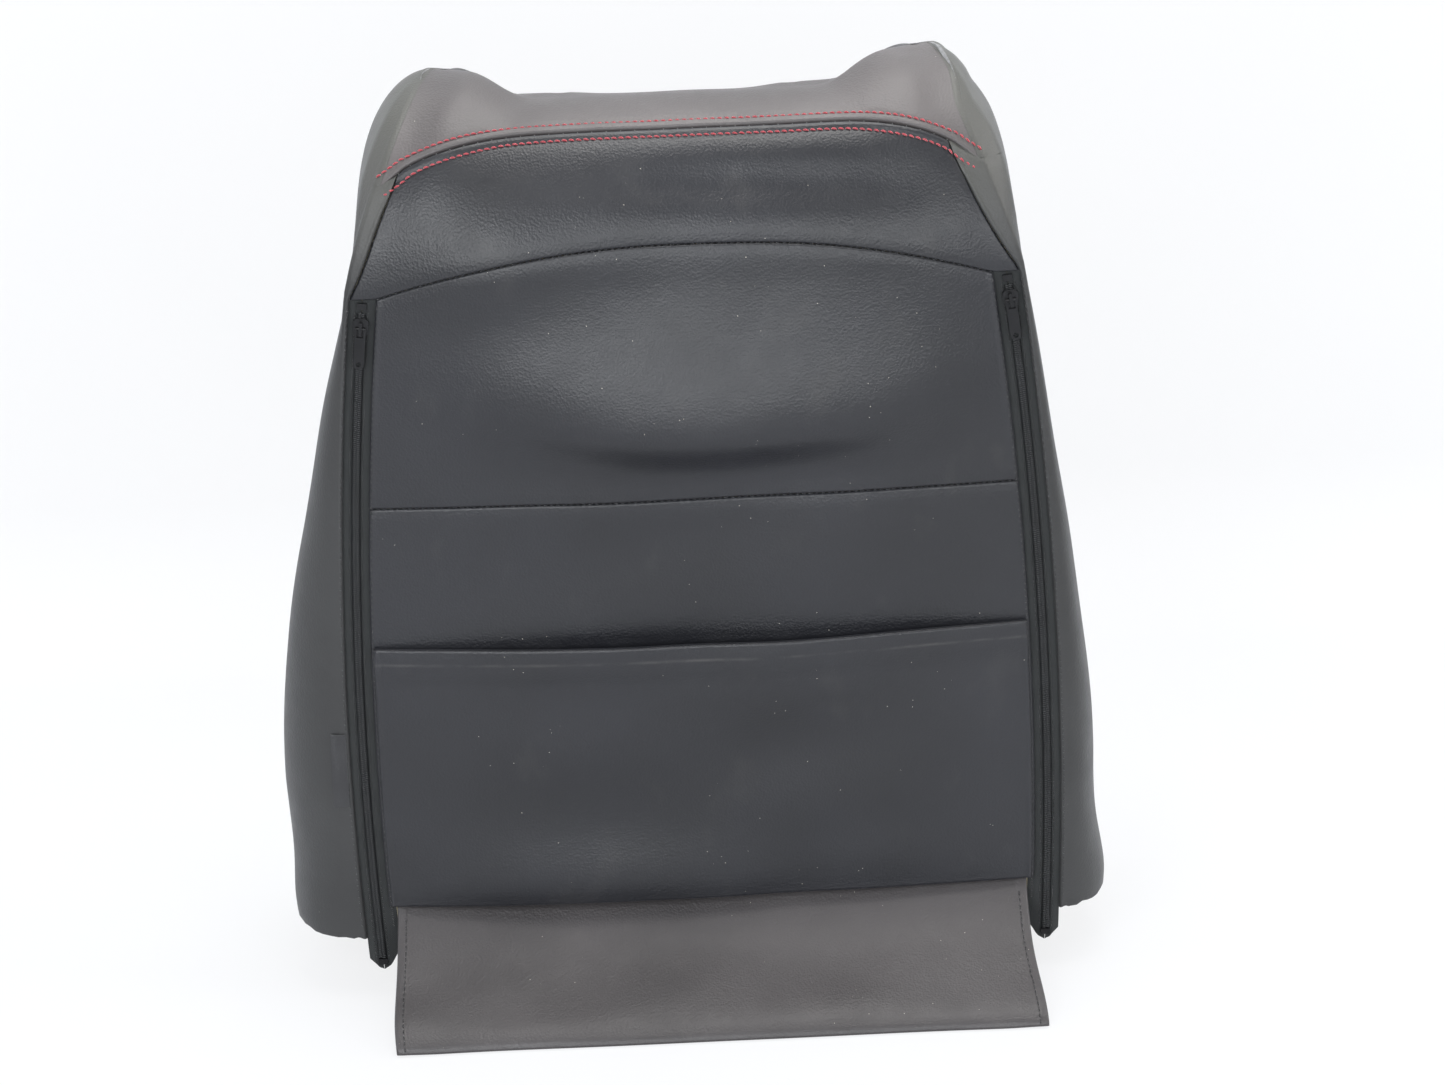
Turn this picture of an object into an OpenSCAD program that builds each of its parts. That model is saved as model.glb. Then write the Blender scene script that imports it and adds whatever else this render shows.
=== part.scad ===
// Upholstered seat backrest: trim cover over a moulded foam pad, without its steel frame.
// It stands on the foam's base. +X is to the right seen from behind, the rear face looks along
// -Y, the occupant's side along +Y, and +Z is up. The origin is on the base, in the pad's middle.

/* [Body] */
// Half width at the hips, the widest level
hip_half_w = 277; // [268:1:290]
// Height of the widest level
hip_z = 140; // [110:1:180]
// Half width at the base
base_half_w = 270; // [262:1:285]
// Half width where the top starts to round over
neck_half_w = 223; // [222:1:228]
// Height where the top starts to round over
neck_z = 498; // [495:1:506]
// Height of the crest at the centre
crest_z = 602; // [596:1:620]
// Rise of the shoulder lobes above the crest
shoulder_rise = 15; // [5:1:20]
// Half length of the crest line
crest_half_w = 165; // [158:1:172]
// Depth of the crest line behind the origin at the centre
crest_back = 12; // [5:1:20]
// How far forward of that the crest line runs at the shoulders
shoulder_forward = 34; // [20:1:40]
// Depth of the rear edge behind the origin
rear_y = 84; // [80:1:92]
// Depth of the bolster noses in front of the origin
nose_y = 95; // [90:1:104]
// Crown of the rear face near its base
rear_crown = 7; // [4:0.5:9]
// Extra crown of the rear face at its fullest level
rear_fullness = 9; // [4:0.5:12]
// Level where the rear face is fullest
fullness_z = 432; // [415:1:445]

/* [Front] */
// Half width of the front insert
insert_half_w = 158; // [150:1:164]
// Depth of the seams beside the insert
valley_y = 50; // [46:1:54]
// Crown of the insert across its width
insert_crown = 7; // [3:0.5:10]
// Padding of each insert panel at its middle
insert_pad = 6; // [3:0.5:9]
// Height of the seam above the lower insert
insert_seam_low = 176; // [160:1:190]
// Height of the seam below the upper insert
insert_seam_high = 344; // [330:1:360]
// Angle down from the crest at which the crown's front seam runs at the middle
front_seam_angle = 45; // [40:1:55]

/* [Cover] */
// Thickness of the laminated leatherette
panel_t = 3; // [2.4:0.1:3.4]
// Clearance between the cover and the foam
foam_gap = 2; // [1.9:0.1:2.2]
// Width of the gap drawn at each seam
seam_gap = 0.6; // [0.4:0.05:0.8]
// Height of the double-stitched crown seam at the centre
crown_seam_z = 584; // [578:1:588]
// Drop of the crown seam at its ends
crown_seam_drop = 28; // [20:1:32]
// Height of the arched seam at the centre
arch_seam_z = 518; // [514:1:524]
// Drop of the arched seam at its ends
arch_seam_drop = 26; // [24:1:28]
// Height of the straight seam
straight_seam_z = 351; // [335:1:370]
// Height of the bottom seam
bottom_seam_z = 66; // [60:1:72]
// Height of the side panels' cut edge at their rear corners
side_edge_rise = 44; // [20:1:50]
// Depth of the creases beside the shoulder lobes
shoulder_tuck = 16; // [0:1:18]

/* [Pocket] */
// Height of the pocket mouth
pocket_z = 255; // [240:1:280]
// Width of the folded hem at the pocket mouth
hem_w = 20; // [16:1:24]
// Extra thickness of the hem
hem_t = 1.4; // [1:0.1:2]
// Slack of the pocket at the middle of its mouth
pocket_slack = 13; // [11:0.5:15]
// Clearance between the pocket and the panel behind it at its seams
pocket_gap = 0.6; // [0.5:0.1:0.8]
// Distance from the panel edges to the pocket's edges
pocket_inset = 2; // [1:0.5:4]

/* [Flap] */
// Half width of the closing flap
flap_half_w = 212; // [204:1:212]
// Reach of the flap on the ground behind the origin
flap_reach = 172; // [150:1:190]
// Depth of the flap's knee behind the origin
flap_knee = 104; // [98:1:110]
// Thickness of the stiffener strip under the flap's edge
strip_t = 1.2; // [1:0.1:1.6]
// Width of the stiffener strip
strip_w = 12; // [10:0.5:15]
// Height of the lowest layer above the ground
ground_gap = 0.1; // [0.1:0.05:0.3]

/* [Zips] */
// Distance from the middle to the zips at their widest
zip_half_w = 228; // [227:0.5:228.5]
// Level where the zips are widest
zip_bow_z = 150; // [140:1:160]
// Radius of the zips' bow
zip_bow_r = 2688; // [2600:1:2800]
// Lower end of the tapes
tape_low_z = 19; // [15:1:24]
// Upper end of the tapes
tape_high_z = 495; // [491:1:496]
// Width of tape between the panel edges
zip_opening = 17; // [16:0.5:18]
// Width of tape hidden under the rear panels
tape_under = 4.5; // [3.5:0.5:4.5]
// Width of tape hidden under the side panels
tape_side_under = 0.4; // [0.2:0.1:0.5]
// Thickness of the tape
tape_t = 0.8; // [0.7:0.05:0.9]
// Clearance above and below the tape
tape_gap = 0.3; // [0.2:0.05:0.4]
// Width of the coil
coil_w = 6; // [5:0.1:6.4]
// Thickness of the coil
coil_t = 2.4; // [2:0.1:2.6]
// Lower end of the coil
coil_low_z = 29; // [27:1:31]
// Upper end of the coil
coil_high_z = 485; // [483:1:486]
// Length of the end stops
stop_l = 4; // [3:0.5:4.5]
// Level at which the sliders are parked
slider_z = 474; // [465:1:475]
// Length of a slider
slider_l = 13; // [11:0.5:14]
// Width of a slider
slider_w = 10; // [9.6:0.1:11]
// Wall thickness of a slider
slider_t = 1.2; // [1:0.05:1.3]
// Clearance between a slider and its coil
slider_gap = 0.4; // [0.3:0.05:0.5]
// Length of a pull tab from its pivot
pull_l = 27; // [20:0.5:28]
// Width of a pull tab
pull_w = 7; // [6.5:0.1:8]

/* [Foam] */
// Half width of the frame cavity at the base
cavity_half_w = 205; // [200:1:208]
// Half width of the frame cavity at its top
cavity_top_half_w = 176; // [170:1:180]
// Height of the frame cavity
cavity_z = 500; // [490:1:510]
// Depth of the pad's back face behind the origin
cavity_front = 15; // [10:1:20]
// Half width of the mouth at the base
mouth_half_w = 224; // [222:1:226]
// Height of the mouth at the base
mouth_z = 76; // [74:1:84]
// Half width of the base between its open rear corners
corner_half_w = 222; // [218:1:223]
// How far in front of the origin the base's rear corners are open
corner_front = 56; // [50:1:62]
// Height of those open corners
corner_z = 52; // [46:1:56]
// Half width of the recess for the frame's top tube
tube_half_w = 112; // [108:1:120]
// Front of the recess for the frame's top tube
tube_front = 28; // [26:1:32]
// Height of the recess for the frame's top tube
tube_z = 556; // [550:1:560]

/* [Head restraint] */
// Distance between the two head restraint bores
bore_pitch = 150; // [140:1:160]
// Radius of the bores
bore_r = 11; // [9:0.5:12]
// Depth of the bores in front of the origin
bore_y = 12; // [10:0.5:14]

/* [Tie-down] */
// Width of the tie-down slots
slot_w = 9.2; // [9:0.1:11]
// Depth of the tie-down slots
slot_d = 20; // [19:0.5:24]
// Lower end of the tie-down slots
slot_low_z = 70; // [60:1:80]
// Upper end of the tie-down slots
slot_high_z = 430; // [420:1:440]
// Radius of the wires
wire_r = 0.9; // [0.7:0.05:1]
// Radius of the ring's wire
ring_r = 0.6; // [0.5:0.05:0.7]
// Inner radius of a closed ring
ring_inner_r = 3; // [2.9:0.05:3.1]
// Number of rings on each side
ring_count = 4; // [3:1:6]
// Thickness of the listing strips
listing_t = 0.8; // [0.6:0.1:1.2]

/* [Tag] */
// Height of the tag's lower end
tag_z = 142; // [130:1:160]
// Length of the tag
tag_l = 52; // [40:1:60]
// Width of the tag
tag_w = 11; // [9:0.5:13]
// Thickness of the folded tag
tag_t = 0.8; // [0.6:0.1:1]

/* [Hidden] */
$fn = 32;
arc_fn = 720;
lie_gap = 0.3;       // clearance under the small pieces that lie on others
corner_depth = 1.5;  // depth of the side's rear corner, as a share of its width
corner_pull = 0.55;  // roundness of that corner
side_pull = 0.72;    // how far forward the side runs before it turns to the nose
nose_round = 0.8;    // how wide it turns there
nose_pull = 24;      // how roundly the bolster face leaves its nose
valley_pull = 12;    // how steeply it enters the valley
waist_power = 1.35;  // how late the sides draw in above the hips
dome_power = 1.1;    // how late the sides draw in over the top
seam_power = 2.4;    // how flat the arched seams are at the middle
fullness_span = 88;  // half height of the fullest stretch of the rear face
shoulder_from = 92;  // where the crest line starts to climb to a shoulder
shoulder_ramp = 42;  // length of that climb
tuck_in = 0.26;      // station where the creases start
tuck_out = 0.36;     // station behind which they end
tiny = 0.002;
// Stations around the section, from the middle of the rear face (0) to the middle of the front (1)
s_in = 0.30;         // the rear panels' edge
s_out = 0.34;        // the side panels' rear edge
s_side = 0.44;       // the widest place
s_nose = 0.62;       // the bolster's nose seam
s_valley = 0.80;     // the seam beside the front insert
s_corner = 0.281;    // the upper panel's top corner
side_z = arch_seam_z - arch_seam_drop; // level at which the upper panel's side seams start
tape_y = -rear_y + panel_t + tape_gap;
coil_y = tape_y - tape_gap / 2 - coil_t;
slider_y = coil_y - slider_gap - slider_t;
bridge_t = 1;
bridge_rise = 2.5;
bridge_l = 9;
bar_r = 0.8;
bar_y = slider_y - bridge_rise / 2;
zip_centre_x = zip_half_w - zip_bow_r;
wire_pitch = 3.5;
foam_inset = panel_t + foam_gap;
slot_y = valley_y - foam_inset - slot_d;
ring_y = slot_y + lie_gap + ring_inner_r + 2 * ring_r;
wire_y = ring_y - wire_pitch / 2;
flap_hinge_y = rear_y + 3;
leather = [0.25, 0.26, 0.29];
flap_leather = [0.32, 0.30, 0.31];

// ---- curves ----
function lerp(a, b, t) = a + (b - a) * t;
function ease(t) = t <= 0 ? 0 : t >= 1 ? 1 : t * t * (3 - 2 * t);
function steps(a, b, n) = [for (i = [0:n]) lerp(a, b, i / n)];
function bezier(p, t) =
    pow(1 - t, 3) * p[0] + 3 * pow(1 - t, 2) * t * p[1] + 3 * (1 - t) * t * t * p[2] + t * t * t * p[3];

// ---- outline of the body ----
function half_w(z) = z < hip_z
    ? hip_half_w - (hip_half_w - base_half_w) * pow((hip_z - z) / hip_z, 2)
    : hip_half_w - (hip_half_w - neck_half_w) * pow((z - hip_z) / (neck_z - hip_z), waist_power);
function zip_x(z) = zip_centre_x + sqrt(zip_bow_r * zip_bow_r - pow(z - zip_bow_z, 2));
function crown_at(z) = rear_crown + rear_fullness * exp(-pow((z - fullness_z) / fullness_span, 2));

// One point of the level section, for a station from 0 to 1
function half_section(s, z) =
    let (
        x_in = zip_x(z) - zip_opening / 2,
        x_out = zip_x(z) + zip_opening / 2,
        w = half_w(z),
        a = w - x_out,
        y = -rear_y + corner_depth * a,
        corner = [[x_out, -rear_y], [x_out + corner_pull * a, -rear_y],
                  [w, lerp(y, -rear_y, corner_pull)], [w, y]],
        side = [[w, y], [w, lerp(y, nose_y, side_pull)],
                [lerp(x_in, w, nose_round), nose_y], [x_in, nose_y]],
        face = [[x_in, nose_y], [x_in - nose_pull, nose_y],
                [insert_half_w + valley_pull, valley_y + nose_pull], [insert_half_w, valley_y]]
    )
    s <= s_in ? [x_in * s / s_in, -rear_y - crown_at(z) * (1 - pow(s / s_in, 2))]
    : s <= s_out ? [lerp(x_in, x_out, (s - s_in) / (s_out - s_in)), -rear_y]
    : s <= s_side ? bezier(corner, (s - s_out) / (s_side - s_out))
    : s <= s_nose ? bezier(side, (s - s_side) / (s_nose - s_side))
    : s <= s_valley ? bezier(face, (s - s_nose) / (s_valley - s_nose))
    : let (t = (s - s_valley) / (1 - s_valley))
      [insert_half_w * (1 - t), valley_y + insert_crown * (1 - pow(1 - t, 2))];

// The whole section: stations below 0 or above 1 are the mirrored left half
function section(s, z) =
    s < 0 ? let (p = section(-s, z)) [-p[0], p[1]]
    : s > 1 ? let (p = section(2 - s, z)) [-p[0], p[1]]
    : half_section(s, z);
function section_inset(s, z, inset) =
    let (t = section(s + tiny, z) - section(s - tiny, z), n = [-t[1], t[0]] / norm(t))
    section(s, z) + inset * n;

// ---- crest line ----
function crest_y(x) = -crest_back + shoulder_forward * ease((abs(x) - shoulder_from) / shoulder_ramp / 1.6);
function crest_height(x) = crest_z + shoulder_rise * ease((abs(x) - shoulder_from) / shoulder_ramp);
function crest_x(s) = section(s, neck_z)[0] * crest_half_w / neck_half_w;

// How far the cover is drawn in at the crease between the rear face and a shoulder lobe
function tuck(s, q) = (s > 0 ? 1 : -1) * shoulder_tuck * sin((q - 1) * 180)
    * ease((abs(s) - tuck_in) / 0.08) * (1 - ease((abs(s) - tuck_out) / 0.14));

// A point of the cover's outer face, or of the face that lies inset under it. Level q runs from
// 0 at the base to 1 where the top starts to round over and to 2 on the crest line.
function skin(s, q, inset = 0) =
    q <= 1 ? let (p = section_inset(s, q * neck_z, inset)) [p[0], p[1], q * neck_z]
    : let (
        p = section_inset(s, neck_z, inset),
        x = crest_x(s),
        c = 1 - cos((q - 1) * 90),
        cx = pow(c, dome_power)
    )
    [lerp(p[0], x, cx) - tuck(s > 1 ? s - 2 : s, q), lerp(p[1], crest_y(x), c),
     neck_z + (crest_height(x) - inset - neck_z) * sin((q - 1) * 90)];

// Level of a height at a station
function level(s, z) = z <= neck_z ? z / neck_z
    : 1 + asin(min(1, (z - neck_z) / (crest_height(crest_x(s)) - neck_z))) / 90;

// Station on the front that meets the crest at the same place as x does on the rear
function front_station(x, lo = s_nose, hi = 1, n = 14) = n == 0 ? (lo + hi) / 2
    : section((lo + hi) / 2, neck_z)[0] > x
        ? front_station(x, (lo + hi) / 2, hi, n - 1)
        : front_station(x, lo, (lo + hi) / 2, n - 1);

// ---- seams, as heights over the station ----
function across(s, s_end) = pow(min(1, abs(s) / s_end), seam_power);
function crown_seam(s) = crown_seam_z - crown_seam_drop * across(s, s_corner);
function arch_seam(s) = arch_seam_z - arch_seam_drop * across(s, s_in);
crown_end_z = crown_seam_z - crown_seam_drop;
// Edge station of the upper panel, from the zip's outer edge up to the crown seam
function upper_edge(z) = lerp(s_corner, s_out, pow(1 - max(0, min(1, (z - side_z) / (crown_end_z - side_z))), 2));
seam_s = seam_gap / 2 * s_in / zip_half_w;
// Level of the crown's front seam: low at the middle, close to the crest over the bolsters
front_level_gap = 0.0015;
ramp_x = bore_pitch / 2 + bore_r;
ramp_w = 24;
function front_level(x) = 2 - lerp(front_seam_angle, 2, ease((abs(x) - ramp_x) / ramp_w)) / 90;
// Places that neighbours share, so that their edges match and the foam stays under the cover
side_stations = concat(steps(s_out, s_side, 4), steps(lerp(s_side, s_nose, 0.2), s_nose, 4));
seam_rows = 5;
corner_level = level(s_in, crown_end_z);
corner_gap = 0.0015;
top_level = 1.99;
low_levels = steps(0, 0.97, 6);
seam_levels = [for (z = steps(side_z + seam_gap / 2, crown_end_z - seam_gap / 2, seam_rows)) level(s_in, z)];
high_levels = steps(corner_level + corner_gap, top_level, 5);
side_levels = concat(low_levels, seam_levels, high_levels);
crest_end_x = crest_x(s_in);
valley_x = crest_x(s_valley);
seam_xs = concat(steps(0, ramp_x, 4), [for (i = [1:4]) ramp_x + ramp_w * i / 4]);
function mirrored(list) = concat([for (i = [len(list) - 1:-1:1]) -list[i]], list);
function front_s(x) = 1 - (1 - s_valley) * x / valley_x;

// ---- sheets ----
// A closed sheet between surf(u, v, 0) outside and surf(u, v, 1) inside
module sheet(surf, us, vs) {
    nu = len(us);
    nv = len(vs);
    size = nu * nv;
    points = [for (k = [0, 1]) for (v = vs) for (u = us) surf(u, v, k)];
    function id(i, j, k) = k * size + j * nu + i;
    outer = [for (j = [0:nv - 2]) for (i = [0:nu - 2]) for (f = [
        [id(i, j, 0), id(i, j + 1, 0), id(i + 1, j + 1, 0)],
        [id(i, j, 0), id(i + 1, j + 1, 0), id(i + 1, j, 0)]]) f];
    inner = [for (j = [0:nv - 2]) for (i = [0:nu - 2]) for (f = [
        [id(i, j, 1), id(i + 1, j + 1, 1), id(i, j + 1, 1)],
        [id(i, j, 1), id(i + 1, j, 1), id(i + 1, j + 1, 1)]]) f];
    ends = [for (i = [0:nu - 2]) for (f = [
        [id(i, 0, 0), id(i + 1, 0, 0), id(i + 1, 0, 1)], [id(i, 0, 0), id(i + 1, 0, 1), id(i, 0, 1)],
        [id(i, nv - 1, 0), id(i + 1, nv - 1, 1), id(i + 1, nv - 1, 0)],
        [id(i, nv - 1, 0), id(i, nv - 1, 1), id(i + 1, nv - 1, 1)]]) f];
    sides = [for (j = [0:nv - 2]) for (f = [
        [id(0, j, 0), id(0, j + 1, 1), id(0, j + 1, 0)], [id(0, j, 0), id(0, j, 1), id(0, j + 1, 1)],
        [id(nu - 1, j, 0), id(nu - 1, j + 1, 0), id(nu - 1, j + 1, 1)],
        [id(nu - 1, j, 0), id(nu - 1, j + 1, 1), id(nu - 1, j, 1)]]) f];
    polyhedron(points, concat(outer, inner, ends, sides), convexity = 6);
}

// A panel of the rear face between two seams; edge gives its edge station at a height
module rear_panel(low, high, edge, nu, nv) {
    sheet(function (u, v, k)
        let (
            s0 = u * edge(lerp(low(u * s_in), high(u * s_in), v)),
            z = lerp(low(s0) + seam_gap / 2, high(s0) - seam_gap / 2, v)
        )
        skin(s0, level(s0, z), k * panel_t),
        steps(-1, 1, nu), steps(0, 1, nv));
}

module crown_panel() {
    rear_share = 0.62;
    xs = concat(seam_xs, [valley_x, (valley_x + crest_end_x) / 2, crest_end_x - seam_gap / 2]);
    color(flap_leather) difference() {
        sheet(function (x, v, k)
            let (
                s = x / crest_end_x * s_in,
                f = (x < 0 ? -1 : 1) * front_station(abs(x) * neck_half_w / crest_half_w),
                q0 = level(s, crown_seam(s) + seam_gap / 2)
            )
            v <= rear_share ? skin(s, lerp(q0, 2, v / rear_share), k * panel_t)
            : skin(f, lerp(2, front_level(x) + front_level_gap, (v - rear_share) / (1 - rear_share)),
                k * panel_t),
            mirrored(xs), concat(steps(0, rear_share, 5), steps(lerp(rear_share, 1, 0.2), 1, 4)));
        bores();
    }
}

module rear_upper_panel() color(leather)
    rear_panel(function (s) arch_seam(s), function (s) crown_seam(s),
        function (z) upper_edge(z) - seam_s, 14, seam_rows);

module rear_middle_panel() color(leather)
    rear_panel(function (s) straight_seam_z, function (s) arch_seam(s), function (z) s_in, 10, 8);

module rear_lower_panel() color(leather)
    rear_panel(function (s) bottom_seam_z, function (s) straight_seam_z, function (z) s_in, 10, 7);

// Lower edge of a side panel: cut higher at its rear corner
function side_low(s) = ground_gap + side_edge_rise * (1 - ease((s - s_side) / 0.12));

module side_panel() {
    edges = concat([for (q = low_levels) s_out],
        [for (z = steps(side_z, crown_end_z, seam_rows)) upper_edge(z)], [for (q = high_levels) s_in]);
    sheet(function (u, row, k)
        let (
            q = side_levels[row],
            s = u == 0 ? edges[row] + seam_s : max(edges[row] + 2 * seam_s, min(s_nose - seam_s, u))
        )
        skin(s, q <= 1 ? lerp(side_low(s) / neck_z, 1, q) : q, k * panel_t),
        concat([0], side_stations), [for (i = [0:len(side_levels) - 1]) i]);
}
module left_side_panel() color(leather) mirror([1, 0, 0]) side_panel();
module right_side_panel() color(leather) side_panel();

module bolster_panel() {
    sheet(function (u, q, k)
        skin(lerp(s_nose + seam_s, s_valley - seam_s, u), q <= 1 ? lerp(ground_gap / neck_z, 1, q)
                : min(q, front_level(crest_half_w) - front_level_gap), k * panel_t),
        steps(0, 1, 6), side_levels);
}
module left_bolster_panel() color(leather) mirror([1, 0, 0]) bolster_panel();
module right_bolster_panel() color(leather) bolster_panel();

// A padded panel of the front insert: its outer face swells, its inner face follows the foam
module insert_panel(low, high, nv) {
    sheet(function (x, v, k)
        let (
            swell = pow(cos(90 * x / valley_x) * sin(180 * v), 0.6)
        )
        skin(front_s(x), lerp(low, high(x), v), k == 0 ? -insert_pad * swell : panel_t),
        [for (x = mirrored(concat(seam_xs, [valley_x - seam_gap / 2]))) -x], steps(0, 1, nv));
}
module front_insert_upper() color(leather)
    insert_panel((insert_seam_high + seam_gap / 2) / neck_z,
        function (x) front_level(x) - front_level_gap, 10);
module front_insert_middle() color(leather)
    insert_panel((insert_seam_low + seam_gap / 2) / neck_z,
        function (x) (insert_seam_high - seam_gap / 2) / neck_z, 4);
module front_insert_lower() color(leather)
    insert_panel(ground_gap / neck_z, function (x) (insert_seam_low - seam_gap / 2) / neck_z, 4);

// ---- pocket ----
pocket_low_z = bottom_seam_z + 2;
pocket_s = s_in * (1 - pocket_inset / zip_half_w);
function pocket_stand(s, z) = pocket_gap + pocket_slack * (1 - pow(s / s_in, 2))
    * pow((z - pocket_low_z) / (pocket_z - pocket_low_z), 1.2);
module pocket_panel() {
    hem_v = 1 - hem_w / (pocket_z - pocket_low_z);
    color(leather) sheet(function (u, v, k)
        let (
            s = u * pocket_s,
            z = lerp(pocket_low_z, pocket_z, v),
            p = skin(s, z / neck_z),
            hem = v > hem_v ? hem_t : 0,
            out = pocket_stand(s, z) + (k == 0 ? panel_t + hem : 0)
        )
        [p[0], p[1] - out, p[2]],
        steps(-1, 1, 10), concat(steps(0, hem_v, 6), [hem_v + 0.01, (1 + hem_v) / 2, 1]));
}

// ---- closing flap ----
flap_end_z = ground_gap + strip_t + lie_gap + panel_t / 2;
flap_hinge_z = bottom_seam_z - 0.2;
seam_edge_t = 0.8;
flap_path = [[-flap_reach, flap_end_z], [-flap_knee, flap_end_z - 1],
             [-rear_y - 8, 18], [-flap_hinge_y, flap_hinge_z]];
module closing_flap() {
    color(flap_leather) sheet(function (u, v, k)
        let (
            p = bezier(flap_path, v),
            t = bezier(flap_path, min(1, v + tiny)) - bezier(flap_path, max(0, v - tiny)),
            n = [-t[1], t[0]] / norm(t),
            half_t = (v > 0.95 ? seam_edge_t : panel_t) / 2,
            h = p + n * (k == 0 ? half_t : -half_t),
            ripple = 1.2 * (1 - cos(360 * v)) * pow(sin(200 * u + 40), 2)
        )
        [u * flap_half_w, h[0], max(h[1], ground_gap) + ripple],
        steps(-1, 1, 10), steps(0, 1, 11));
}
module flap_edge_strip() color([0.1, 0.1, 0.1])
    translate([-flap_half_w + 4, -flap_reach + 1, ground_gap])
        cube([2 * flap_half_w - 8, strip_w, strip_t]);

// ---- zips: every piece follows one arc in a plane behind the panels ----
function zip_angle(z) = asin((z - zip_bow_z) / zip_bow_r);
module zip_arc(z0, z1, r0, r1, y0, y1) {
    translate([zip_centre_x, 0, zip_bow_z]) rotate([90, 0, 0]) rotate([0, 0, zip_angle(z0)])
        rotate_extrude(angle = zip_angle(z1) - zip_angle(z0), $fn = arc_fn)
            translate([zip_bow_r + r0, -y1]) square([r1 - r0, y1 - y0]);
}
module on_zip(z) translate([zip_centre_x, 0, zip_bow_z]) rotate([0, -zip_angle(z), 0])
    translate([zip_bow_r, 0, 0]) children();
module on_left() mirror([1, 0, 0]) children();

tape_reach = zip_opening / 2 + tape_under;
side_reach = zip_opening / 2 + tape_side_under;
module inner_tape() color([0.17, 0.18, 0.18])
    zip_arc(tape_low_z, tape_high_z, -tape_reach, -tape_gap / 2, tape_y, tape_y + tape_t);
module outer_tape() color([0.17, 0.18, 0.18])
    zip_arc(tape_low_z, tape_high_z, tape_gap / 2, side_reach, tape_y, tape_y + tape_t);
module left_zip_inner_tape() on_left() inner_tape();
module right_zip_inner_tape() inner_tape();
module left_zip_outer_tape() on_left() outer_tape();
module right_zip_outer_tape() outer_tape();

module coil() color([0.12, 0.13, 0.13])
    zip_arc(coil_low_z, coil_high_z, -coil_w / 2, coil_w / 2, coil_y, coil_y + coil_t);
module left_zip_coil() on_left() coil();
module right_zip_coil() coil();

module end_stops() {
    for (z = [coil_low_z - stop_l - 1, coil_high_z + 1])
        zip_arc(z, z + stop_l, -coil_w / 2, coil_w / 2, coil_y, coil_y + coil_t);
}
module zip_end_stops() color([0.2, 0.2, 0.2]) {
    end_stops();
    on_left() end_stops();
}

// A slider: top plate, two side flanges and the bridge that traps the pull's bar
module slider() color([0.1, 0.1, 0.11]) on_zip(slider_z) {
    flange_y = tape_y - slider_gap;
    rotate([90, 0, 0]) translate([0, 0, -slider_y - slider_t]) linear_extrude(slider_t)
        polygon([[-slider_w / 2 + 1.6, -slider_l / 2], [slider_w / 2 - 1.6, -slider_l / 2],
                 [slider_w / 2, 0], [slider_w / 2, slider_l / 2 - 2], [slider_w / 2 - 2, slider_l / 2],
                 [-slider_w / 2 + 2, slider_l / 2], [-slider_w / 2, slider_l / 2 - 2], [-slider_w / 2, 0]]);
    for (x = [-slider_w / 2, slider_w / 2 - slider_t])
        translate([x, slider_y + slider_t, 0]) cube([slider_t, flange_y - slider_y - slider_t, slider_l / 2 - 2]);
    for (z = [-bridge_l / 2, bridge_l / 2 - bridge_t])
        translate([-bridge_t, slider_y - bridge_rise, z]) cube([2 * bridge_t, bridge_rise, bridge_t]);
    translate([-bridge_t, slider_y - bridge_rise - bridge_t, -bridge_l / 2])
        cube([2 * bridge_t, bridge_t, bridge_l]);
}
module left_zip_slider() on_left() slider();
module right_zip_slider() slider();

// A pull tab: the bar under the bridge, two arms and a rounded tab with a hole
module pull() color([0.12, 0.12, 0.13]) on_zip(slider_z) {
    arm_w = 1.3;
    neck_l = bridge_l / 2 + 1.2;
    translate([-pull_w / 2, bar_y, 0]) rotate([0, 90, 0]) cylinder(h = pull_w, r = bar_r);
    for (x = [-pull_w / 2, pull_w / 2 - arm_w])
        translate([x, bar_y - bar_r * 0.75, -neck_l - 1]) cube([arm_w, bar_r * 1.5, neck_l + 1]);
    rotate([90, 0, 0]) translate([0, 0, -bar_y - bar_r * 0.75]) linear_extrude(bar_r * 1.5)
        difference() {
            union() {
                translate([-pull_w / 2, -pull_l + pull_w / 2]) square([pull_w, pull_l - neck_l - pull_w / 2]);
                translate([0, -pull_l + pull_w / 2]) circle(r = pull_w / 2);
            }
            translate([0, -pull_l + pull_w / 2]) circle(r = pull_w / 4);
        }
}
module left_zip_pull() on_left() pull();
module right_zip_pull() pull();

// ---- tag on the left side panel, beside the zip ----
module side_tag() {
    tag_s = tag_w / zip_half_w * s_in;
    color([0.09, 0.09, 0.1]) on_left() sheet(function (u, v, k)
        skin(s_out + 0.004 + u * tag_s, lerp(tag_z, tag_z + tag_l, v) / neck_z,
            -lie_gap - (k == 0 ? tag_t : 0)),
        steps(0, 1, 3), steps(0, 1, 6));
}

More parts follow.
